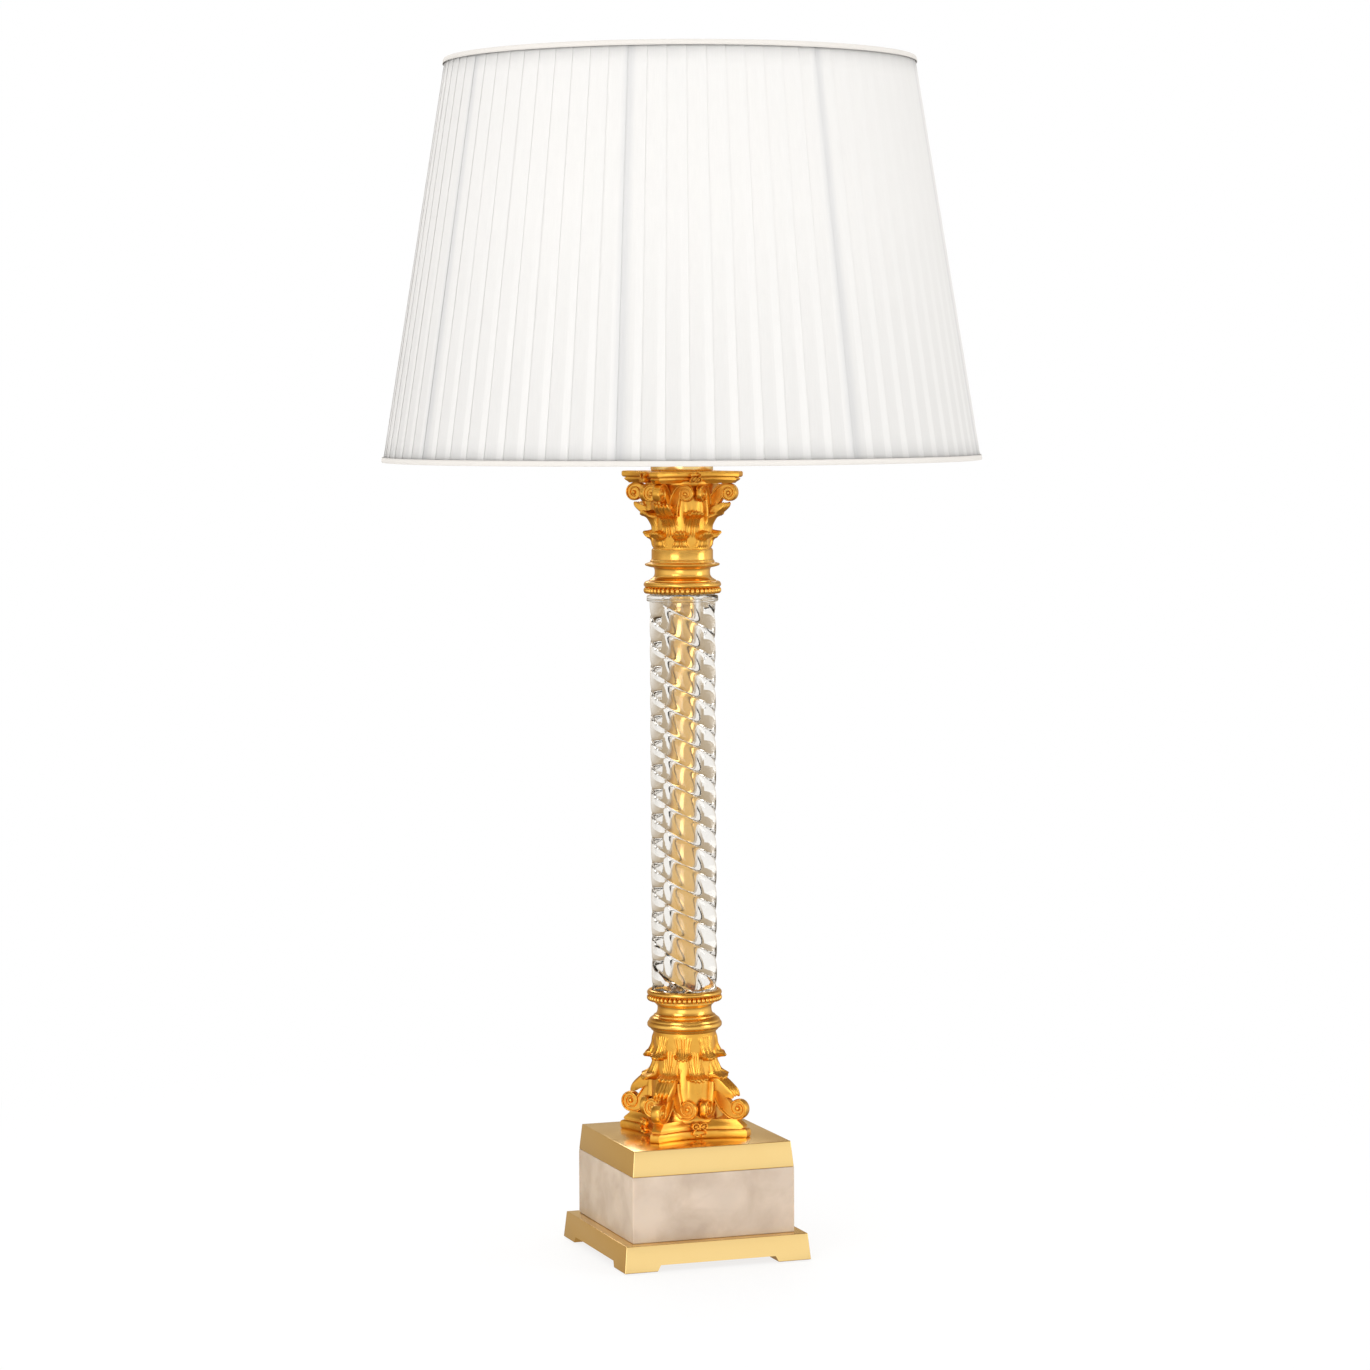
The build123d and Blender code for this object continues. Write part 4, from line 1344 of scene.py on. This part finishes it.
# Above 2, the lobes are fuller than a round and the grooves between them narrower
LOBE_FLATNESS = 2.8
# How far the lower collar covers the washer below it and the glass above it, in millimetres
COLLAR_BELOW, COLLAR_ABOVE = 1.8, 0.2
LOWER_COLLAR_PEAK, UPPER_COLLAR_PEAK = 28.6, 29.4
TUBE_RADIUS, TUBE_BORE = 9, 8


def raised(outline, height):
    """An outline in millimetres with its heights counted from a place on the column."""
    return [(radius, height + up) for radius, up in outline]


def lathe_mm(name, outline):
    """A turned piece from the millimetre outline of its outside, bottom to top."""
    low, high = outline[0][1], outline[-1][1]
    return turned(name, in_metres([(TURNED_HOLE, low), *outline, (TURNED_HOLE, high)]), 96, 0.12 * MM)


def lower_neck():
    """A bulge and steps on the collar's side, then a waist up to a plain drum."""
    place = LOWER_NECK[0][2] / MM
    outline = [
        (24.2, 0.0), (24.4, 0.9), (25.6, 1.3), (25.8, 2.6), (27.4, 3.1), (28.3, 4.2), (28.4, 6.0),
        (27.8, 7.2), (27.0, 7.9), (26.9, 8.7), (26.3, 9.6), (25.0, 10.6), (24.2, 11.2), (23.4, 11.5),
        (23.4, 12.3), (22.2, 12.8),
    ]
    waist = [(21.3, 13.8), (20.7, 15.5), (20.5, 18.0), (20.8, 19.6)]
    drum = [(21.6, 20.4), (22.6, 21.4), (22.6, 24.8)]
    outline, waist, drum = (raised(part, place) for part in (outline, waist, drum))
    return lathe_mm("lower_neck", [*outline, *flowing(waist), *drum])


def upper_neck():
    """A waist, a wide ring with steps above it, and a plain drum under the capital."""
    place = UPPER_NECK[0][2] / MM
    foot = [(25.4, 0.0), (25.4, 0.8), (24.0, 1.5), (22.8, 2.3)]
    waist = [(21.6, 3.6), (21.0, 5.4), (21.0, 8.6), (21.7, 10.2)]
    outline = [
        (24.6, 10.7), (27.8, 11.7), (28.3, 12.6), (27.9, 13.3), (26.2, 13.7), (24.4, 14.3), (24.2, 15.6),
        (23.4, 16.2), (23.2, 17.0), (23.2, 23.4), (22.6, 24.4),
    ]
    foot, waist, outline = (raised(part, place) for part in (foot, waist, outline))
    return lathe_mm("upper_neck", [*foot, *flowing(waist), *outline])


def bead():
    """A low domed bead of unit size, facing outwards."""
    piece = primitive("bead", bpy.ops.mesh.primitive_uv_sphere_add, segments=10, ring_count=7, radius=1)
    bpy.ops.object.shade_smooth()
    return piece


def beaded_collar(name, low, high, peak, recess):
    """A smooth bulge above a row of beads. The recess takes the glass's foot."""
    tall = high - low
    bulge = [
        (peak - 5.0, low), (peak - 3.8, low + 0.05 * tall), (peak - 3.4, low + 0.12 * tall),
        (peak - 3.2, low + 0.5 * tall), (peak - 1.3, low + 0.54 * tall), (peak - 0.4, low + 0.62 * tall),
        (peak - 0.1, low + 0.72 * tall), (peak - 0.4, low + 0.84 * tall), (peak - 1.2, low + 0.95 * tall),
        (peak - 2.1, high),
    ]
    seat = high
    if recess:
        seat_radius, seat = recess
        bulge += [(seat_radius, high), (seat_radius, seat)]
    ring = turned("ring", in_metres([(TURNED_HOLE, low), *bulge, (TURNED_HOLE, seat)]), 120, 0.1 * MM)
    count = sizes().beads
    wide = pi * (peak - 1.8) / count
    one = bead()
    one.data.transform(
        Matrix.Translation(((peak - 2.0) * MM, 0, (low + 0.28 * tall) * MM))
        @ Matrix.Diagonal((2.1 * MM, 0.92 * wide * MM, 0.255 * tall * MM, 1))
    )
    return joined(name, [ring, *round_copies(one, count)])


def lobed_ring(height, low, high, count):
    """The glass's outside at a height. The lobes wind left-handed and fade out at both ends."""
    size = sizes()
    fade = max(0.0, min(1.0, (height - low) / 2.5, (high - height) / 5.0))
    fade = fade * fade * (3 - 2 * fade)
    turned_by = -2 * pi * (height - low) * MM / size.glass_lead
    ring = []
    for k in range(count):
        share = (k * size.glass_starts / count) % 1.0
        rise = (1 - abs(2 * share - 1) ** LOBE_FLATNESS) ** (1 / LOBE_FLATNESS)
        reach = size.glass_peak - fade * (size.glass_peak - size.glass_groove) * (1 - rise)
        angle = turned_by + 2 * pi * k / count
        ring.append((reach * cos(angle), reach * sin(angle), height * MM))
    return ring


def glass():
    """The twisted column with its air bore, foot and rim."""
    low, high = GLASS[0][2] / MM + GLASS_PLAY, GLASS[1][2] / MM - GLASS_PLAY
    twist_low, twist_high = low + 1.4, high - 5.0
    count = 144

    def plain_ring(radius, height):
        return ring_points(radius * MM, height * MM, count)

    foot, rim = 24.8, 27.0
    rings = [plain_ring(foot - 0.5, low), plain_ring(foot, low + 0.5), plain_ring(foot, low + 1.0)]
    steps = 360
    for k in range(steps + 1):
        height = twist_low + (twist_high - twist_low) * k / steps
        rings.append(lobed_ring(height, twist_low, twist_high, count))
    rings += [plain_ring(rim - 0.5, twist_high + 0.5), plain_ring(rim, twist_high + 1.2)]
    rings += [plain_ring(rim, high - 0.8), plain_ring(rim - 0.6, high)]
    bore = sizes().glass_bore / MM
    rings += [plain_ring(bore, high), plain_ring(bore, (low + high) / 2), plain_ring(bore, low)]
    return smooth(skin("twisted_glass", rings, loop=True), 55)


def inner_tube():
    """The gold tube that shows through the glass."""
    low, high = SLEEVE[0][2] / MM, SLEEVE[1][2] / MM
    outline = [(TUBE_RADIUS, low), (TUBE_RADIUS, high), (TUBE_BORE, high), (TUBE_BORE, low)]
    return turned("inner_tube", in_metres(outline), 64, 0.1 * MM)


class LAMP_OT_column(bpy.types.Operator):
    """Mouldings, beaded collars, twisted glass, the tube inside it and the rod."""

    bl_idname = "column_lamp.column"
    bl_label = "Column"

    def execute(self, context):
        dressed(lower_neck(), "lamp_base", "gold_brass", gold("polished"), "lower_neck_moulding")
        dressed(upper_neck(), "lamp_base", "gold_brass", gold("polished"), "upper_neck_moulding")
        low, high = LOWER_COLLAR[0][2] / MM - COLLAR_BELOW, LOWER_COLLAR[1][2] / MM + COLLAR_ABOVE
        recess = (25.8, GLASS[0][2] / MM - 1.0)
        collar = beaded_collar("lower_collar", low, high, LOWER_COLLAR_PEAK, recess)
        dressed(collar, "lamp_base", "gold_brass", gold("polished"), "lower_beaded_collar")
        low, high = UPPER_COLLAR[0][2] / MM, UPPER_COLLAR[1][2] / MM
        collar = beaded_collar("upper_collar", low, high, UPPER_COLLAR_PEAK, None)
        dressed(collar, "lamp_base", "gold_brass", gold("polished"), "upper_beaded_collar")
        dressed(glass(), "lamp_base", "clear_glass", clear_glass(), "glass_column")
        dressed(inner_tube(), "lamp_base", "gold_brass", gold("tube"), "rod_sleeve")
        set_finish(soft_plastic(), "lower_glass_seat", "upper_glass_seat")
        set_finish(steel(), "tie_rod", "top_nut")
        return {"FINISHED"}


# ---------------------------------------------------------------------------------------------
# Lampholder and bulb
# ---------------------------------------------------------------------------------------------


# Radii of the lampholder and its shade rings, in millimetres
HOLDER_RADIUS, HOLDER_BORE = 19.3, 17.0
RING_BORE, RING_SLEEVE, RING_FLANGE = 19.7, 22.0, 28.0
RING_RIBS = 48
BULB_RADIUS = 30.0


def cup():
    """The small cup on top of the column, with a raised edge."""
    low, high = CUP[0][2] / MM, CUP[1][2] / MM
    outline = [
        (TURNED_HOLE, low), (22.6, low), (23.3, low + 0.5), (23.5, low + 1.4), (23.5, high - 0.6),
        (23.0, high), (22.5, high - 0.5), (22.5, low + 2.6), (21.8, low + 2.0), (TURNED_HOLE, low + 2.0),
    ]
    return turned("cup", in_metres(outline), 96, 0.1 * MM)


def holder_cap():
    low, high = HOLDER_CAP[0][2] / MM, HOLDER_CAP[1][2] / MM
    outline = [
        (5.1, low), (11.4, low), (12.4, low + 0.4), (16.6, low + 2.0), (18.9, low + 3.6),
        (HOLDER_RADIUS, low + 4.8), (HOLDER_RADIUS, high), (HOLDER_BORE, high), (HOLDER_BORE, low + 6.5),
        (5.1, low + 6.5),
    ]
    return turned("holder_cap", in_metres(outline), 72, 0.1 * MM)


def holder_body():
    """A tube with a round thread on its outside, above a plain foot."""
    low, high = HOLDER[0][2] / MM, HOLDER[1][2] / MM
    pitch, depth = 2.5, 0.7
    height = low + 9.0
    outline = [(HOLDER_BORE, low), (HOLDER_RADIUS, low), (HOLDER_RADIUS, height)]
    while height + pitch < high - 0.6:
        outline += [
            (HOLDER_RADIUS - depth, height + 0.3 * pitch), (HOLDER_RADIUS - depth, height + 0.5 * pitch),
            (HOLDER_RADIUS, height + 0.8 * pitch), (HOLDER_RADIUS, height + pitch),
        ]
        height += pitch
    outline += [(HOLDER_RADIUS - 0.3, high), (HOLDER_BORE, high)]
    return turned("holder_body", in_metres(outline), 72, 0)


def holder_insert():
    low, high = INSERT[0][2] / MM, INSERT[1][2] / MM
    outline = [(2.0, low), (16.4, low), (16.8, low + 0.5), (16.8, high - 0.6), (16.3, high), (2.0, high)]
    return turned("holder_insert", in_metres(outline), 64, 0.1 * MM)


def threaded_shell():
    """The thin shell that the bulb screws into, with shallow grooves."""
    low, high = SHELL[0][2] / MM, SHELL[1][2] / MM
    pitch = 3.6
    outline = [(13.6, low), (14.2, low)]
    height = low + 3.0
    while height + pitch < high:
        outline += [(14.2, height), (13.95, height + 1.2), (14.2, height + 2.4)]
        height += pitch
    outline += [(14.2, high), (13.6, high)]
    return turned("threaded_shell", in_metres(outline), 64, 0)


def ribbed_ring(name, outline):
    """A shade ring: a flange and a ribbed sleeve for the fingers."""
    ring = turned(name, in_metres(outline), 2 * RING_RIBS, 0)
    heights = sorted(height * MM for radius, height in outline if radius == RING_SLEEVE)
    for point in ring.data.vertices:
        reach = Vector((point.co.x, point.co.y)).length
        on_sleeve = abs(reach - RING_SLEEVE * MM) < 0.01 * MM
        if on_sleeve and heights[0] - 1e-6 < point.co.z < heights[-1] + 1e-6:
            turn = atan2(point.co.y, point.co.x)
            if round(turn * RING_RIBS / pi) % 2:
                point.co.x *= 0.975
                point.co.y *= 0.975
    return ring


def lower_ring():
    top = LOWER_RING[1][2] / MM
    outline = [
        (RING_BORE, top - 7.0), (21.6, top - 7.0), (RING_SLEEVE, top - 6.6), (RING_SLEEVE, top - 1.8),
        (27.4, top - 1.5), (RING_FLANGE, top - 0.9), (RING_FLANGE, top), (RING_BORE, top),
    ]
    return ribbed_ring("lower_ring", outline)


def upper_ring():
    low = UPPER_RING[0][2] / MM
    outline = [
        (RING_BORE, low), (RING_FLANGE, low), (RING_FLANGE, low + 0.9), (27.4, low + 1.5),
        (RING_SLEEVE, low + 1.8), (RING_SLEEVE, low + 6.6), (21.6, low + 7.0), (RING_BORE, low + 7.0),
    ]
    return ribbed_ring("upper_ring", outline)


def frosted_bulb():
    """The bulb's glass: a round head that flows into a narrow neck."""
    low, high = BULB[0][2] / MM, BULB[1][2] / MM
    middle = high - BULB_RADIUS
    outline = [(1.0, low), (12.2, low), (12.3, low + 8.0), (12.6, low + 16.0)]
    outline += flowing([(13.4, low + 20.0), (17.5, low + 29.0), (24.0, middle - 18.5)], 6)
    outline += arc((0, middle), BULB_RADIUS, -36, 88, 28)
    piece = turned("frosted_bulb", in_metres(outline), 72, 0)
    return edit(piece, lambda: bpy.ops.mesh.fill_holes(sides=0), turn_outwards)


def screw_cap():
    """The bulb's metal cap: an insulated foot, a round thread and a collar under the glass."""
    low, high = BULB_CAP[0][2] / MM, BULB_CAP[1][2] / MM
    pitch = 3.6
    outline = [(2.0, low), (6.0, low), (9.0, low + 1.6), (12.2, low + 3.2), (12.9, low + 4.2)]
    height = low + 5.0
    while height + pitch < high - 2:
        outline += [(12.5, height), (13.2, height + pitch / 2)]
        height += pitch
    outline += [
        (12.6, high - 1.2), (13.1, high - 0.4), (13.1, high), (12.4, high), (12.4, low + 8.0),
        (2.0, low + 8.0),
    ]
    return turned("bulb_screw_cap", in_metres(outline), 64, 0)


class LAMP_OT_holder(bpy.types.Operator):
    """Cup, lampholder, shade rings and bulb."""

    bl_idname = "column_lamp.holder"
    bl_label = "Lampholder and bulb"

    def execute(self, context):
        dressed(cup(), "lamp_base", "gold_brass", gold("satin"), "holder_cup")
        dressed(holder_cap(), "lamp_base", "white_plastic", moulded(), "lampholder_cap")
        dressed(holder_body(), "lamp_base", "white_plastic", moulded(), "lampholder_body")
        dressed(holder_insert(), "lamp_base", "white_ceramic", porcelain(), "lampholder_insert")
        dressed(threaded_shell(), "lamp_base", "steel", steel(), "screw_shell")
        dressed(lower_ring(), "lower_ring", "white_plastic", moulded(), "lower_shade_ring")
        dressed(upper_ring(), "upper_ring", "white_plastic", moulded(), "upper_shade_ring")
        dressed(frosted_bulb(), "bulb", "bulb_glass", frosted(), "bulb_glass")
        dressed(screw_cap(), "bulb", "steel", steel(), "bulb_cap")
        set_finish(steel(), "centre_contact", "bulb_contact")
        return {"FINISHED"}


# ---------------------------------------------------------------------------------------------
# Shade
# ---------------------------------------------------------------------------------------------

# How far each layer of the shade lies inside its outer cone, in millimetres
COVER_INSIDE, WIRE_INSIDE, LINING_INSIDE = 0.55, 3.9, 5.4
ROUND_STEPS = 160
FITTER_LOW, FITTER_HIGH = 639.0, 641.0
ARM_END = 607.5


def shade_wall(offset, height):
    """Radius in millimetres of a layer of the shade, a distance inside its outer cone."""
    return WIDE - offset - (WIDE - NARROW) * (height - SHADE_LOW) / (SHADE_HIGH - SHADE_LOW)


def pleat_path(overlap):
    """One knife pleat seen from above: (share of the pleat, depth, lap). It folds back on itself."""
    return [
        (0.0, 0.0, 1.0), (0.06, -0.06, 1.0), (overlap * 0.5, -0.12, 1.0), (overlap, -0.2, 0.85),
        (overlap + 0.03, -0.24, 0.2), (0.5, -0.3, 0.0), (0.75, -0.4, 0.0), (1.0, -0.5, 0.0),
        (1.0 + overlap - 0.02, -0.66, 0.0), (1.0 + overlap, -0.6, 0.0), (1.0 + overlap - 0.03, -0.52, 0.0),
        (1.04, -0.34, 0.5), (1.0, -0.13, 0.9),
    ]


def cover():
    """The pleated cover: folds of three layers where they overlap, one layer between."""
    size = sizes()
    path = pleat_path(size.pleat_overlap)
    low, high = SHADE_LOW + 0.9, SHADE_HIGH - 0.9
    levels = 16
    rows, laps = [], []
    for i in range(levels + 1):
        height = low + (high - low) * i / levels
        outer = shade_wall(COVER_INSIDE, height)
        row = []
        for pleat in range(size.pleats):
            wave = 0.12 * sin(2.3 * pleat + 5.0 * i / levels) + 0.08 * sin(5.1 * pleat)
            for share, depth, lap in path:
                radius = outer + depth * size.pleat_rise / MM
                turn = -2 * pi * (pleat + share + 0.05 * wave * sin(pi * i / levels)) / size.pleats
                row.append((radius * cos(turn) * MM, radius * sin(turn) * MM, height * MM))
                if i == 0:
                    laps.append(lap)
        rows.append(row)
    piece = sheet_grid("pleated_cover", rows)
    count = len(rows[0])
    # lap marks where the folds overlap; the silk's painted shade leaves these places white
    lap_values = piece.data.attributes.new("lap", "FLOAT", "POINT")
    for k in range(len(piece.data.vertices)):
        lap_values.data[k].value = laps[k % count]
    along = [0.0]
    middle = rows[levels // 2]
    for k in range(count):
        along.append(along[-1] + (Vector(middle[(k + 1) % count]) - Vector(middle[k])).length)
    slant = (Vector(rows[-1][0]) - Vector(rows[0][0])).length
    unrolled(piece, along, [i * slant / levels for i in range(levels + 1)])
    edit(piece, turn_outwards)
    return smooth(piece, 28), (along[-1], slant)


def unrolled(piece, along, up):
    """Lays a grid's UV map flat, in metres, from the places of its columns and rows."""
    layer = piece.data.uv_layers.new(name="cloth")
    for face in piece.data.polygons:
        i, k = divmod(face.index, len(along) - 1)
        corners = [(along[k], up[i]), (along[k + 1], up[i]), (along[k + 1], up[i + 1]), (along[k], up[i + 1])]
        for loop, place in zip(face.loop_indices, corners):
            layer.data[loop].uv = place


def band_sheet(name, outline):
    """A strip of cloth round the shade, from its cross-section as an open line."""
    rows = [ring_points(radius * MM, height * MM, ROUND_STEPS) for radius, height in outline]
    piece = sheet_grid(name, rows)
    up = [0.0]
    for a, b in zip(outline, outline[1:]):
        up.append(up[-1] + (Vector(b) - Vector(a)).length * MM)
    girth = 2 * pi * max(radius for radius, _ in outline) * MM
    unrolled(piece, [girth * k / ROUND_STEPS for k in range(ROUND_STEPS + 1)], up)
    edit(piece, turn_outwards)
    area = sum(face.area for face in piece.data.polygons)
    return smooth(piece, 50), (girth, up[-1]), area


def binding(name, edge, inward):
    """Tape folded over an edge of the shade. The edge is its height; inward is +1 at the bottom."""
    width = sizes().tape_width / MM
    out, inside = -0.45, 6.6
    line = [
        (shade_wall(out, edge + inward * width), edge + inward * width),
        (shade_wall(out - 0.12, edge + inward * 0.55 * width), edge + inward * 0.55 * width),
        (shade_wall(out - 0.05, edge + inward * 0.9), edge + inward * 0.9),
        (shade_wall(out + 0.4, edge + inward * 0.25), edge + inward * 0.25),
        (shade_wall(1.6, edge), edge + inward * 0.05),
        (shade_wall(inside - 1.6, edge), edge + inward * 0.05),
        (shade_wall(inside - 0.3, edge + inward * 0.4), edge + inward * 0.4),
        (shade_wall(inside, edge + inward * 1.2), edge + inward * 1.2),
        (shade_wall(inside, edge + inward * width), edge + inward * width),
    ]
    return band_sheet(name, line)


def lining():
    """The smooth inner cone of cloth."""
    low, high = SHADE_LOW + 0.6, SHADE_HIGH - 0.6
    wide, narrow = shade_wall(LINING_INSIDE, low), shade_wall(LINING_INSIDE, high)
    steps = 10
    line = [(wide + (narrow - wide) * k / steps, low + (high - low) * k / steps) for k in range(steps + 1)]
    return band_sheet("lining", line)


def wire_frame():
    """Two wire rings and the struts between them."""
    low, high = SHADE_LOW + 1.9, SHADE_HIGH - 1.9
    pieces = []
    for height in (low, high):
        circle = ring_points(shade_wall(WIRE_INSIDE, height) * MM, height * MM, ROUND_STEPS)
        pieces.append(tube("ring", circle, 1.35 * MM, 10, loop=True))
    heights = (low, (low + high) / 2, high)
    strut = tube("strut", [(shade_wall(WIRE_INSIDE, z) * MM, 0, z * MM) for z in heights], 1.1 * MM, 10)
    pieces += round_copies(strut, STRUTS, STRUT_START)
    return joined("wire_frame", pieces)


def fitter():
    """The plate between the shade rings and its four wire arms, which drop to the frame's struts."""
    outline = [(21.0, FITTER_LOW), (31.0, FITTER_LOW), (31.0, FITTER_HIGH), (21.0, FITTER_HIGH)]
    plate = turned("plate", in_metres(outline), 96, 0.3 * MM)
    middle = (FITTER_LOW + FITTER_HIGH) / 2
    end = shade_wall(5.1, ARM_END)
    bends = [(29.5, middle), (40.0, middle - 1.0), (end - 14, ARM_END + 3.0), (end, ARM_END)]
    arm = tube("arm", [(r * MM, 0, z * MM) for r, z in flowing(bends, 8)], 1.55 * MM, 10)
    return joined("fitter", [plate, *round_copies(arm, 4, STRUT_START)])


class LAMP_OT_shade(bpy.types.Operator):
    """Wire frame, pleated cover, lining and bindings."""

    bl_idname = "column_lamp.shade"
    bl_label = "Shade"

    def execute(self, context):
        piece, flat = cover()
        modify(piece, "SOLIDIFY", thickness=0.12 * MM, offset=0.0)
        dressed(piece, "shade", "pleated_silk", silk(), "shade_cover")
        piece, flat, area = lining()
        modify(piece, "SOLIDIFY", thickness=0.25 * MM, offset=0.0)
        dressed(piece, "shade", "lining_cloth", lining_cloth(), "shade_lining")
        for name, edge, inward, node_name in (
            ("bottom_tape", SHADE_LOW, 1, "bottom_binding"),
            ("top_tape", SHADE_HIGH, -1, "top_binding"),
        ):
            piece, flat, area = binding(name, edge, inward)
            modify(piece, "SOLIDIFY", thickness=0.3 * MM, offset=0.0)
            dressed(piece, "shade", "binding_tape", tape(), node_name)
        dressed(wire_frame(), "shade", "white_wire", enamel(), "shade_frame")
        dressed(fitter(), "shade", "white_wire", enamel(), "shade_fitter")
        return {"FINISHED"}


# ---------------------------------------------------------------------------------------------
# Panel and running
# ---------------------------------------------------------------------------------------------

OPERATORS = (LAMP_OT_stage, LAMP_OT_base, LAMP_OT_capitals, LAMP_OT_column, LAMP_OT_holder, LAMP_OT_shade)


class LAMP_PT_panel(bpy.types.Panel):
    """The lamp's settings and the pieces it is made of."""

    bl_label = "Column lamp"
    bl_idname = "LAMP_PT_panel"
    bl_space_type = "VIEW_3D"
    bl_region_type = "UI"
    bl_category = "Column lamp"

    def draw(self, context):
        for group in (context.scene.lamp_sizes, context.scene.lamp_colours):
            for key in group.bl_rna.properties.keys():
                if key not in ("rna_type", "name"):
                    self.layout.prop(group, key)
        for operator in OPERATORS:
            self.layout.operator(operator.bl_idname)


CLASSES = (LampSizes, LampColours, *OPERATORS, LAMP_PT_panel)


def register():
    for item in CLASSES:
        bpy.utils.register_class(item)
    bpy.types.Scene.lamp_sizes = bpy.props.PointerProperty(type=LampSizes)
    bpy.types.Scene.lamp_colours = bpy.props.PointerProperty(type=LampColours)


def unregister():
    del bpy.types.Scene.lamp_colours
    del bpy.types.Scene.lamp_sizes
    for item in reversed(CLASSES):
        bpy.utils.unregister_class(item)


def main():
    register()
    for operator in OPERATORS:
        group, name = operator.bl_idname.split(".")
        getattr(getattr(bpy.ops, group), name)()


if __name__ == "__main__":
    main()
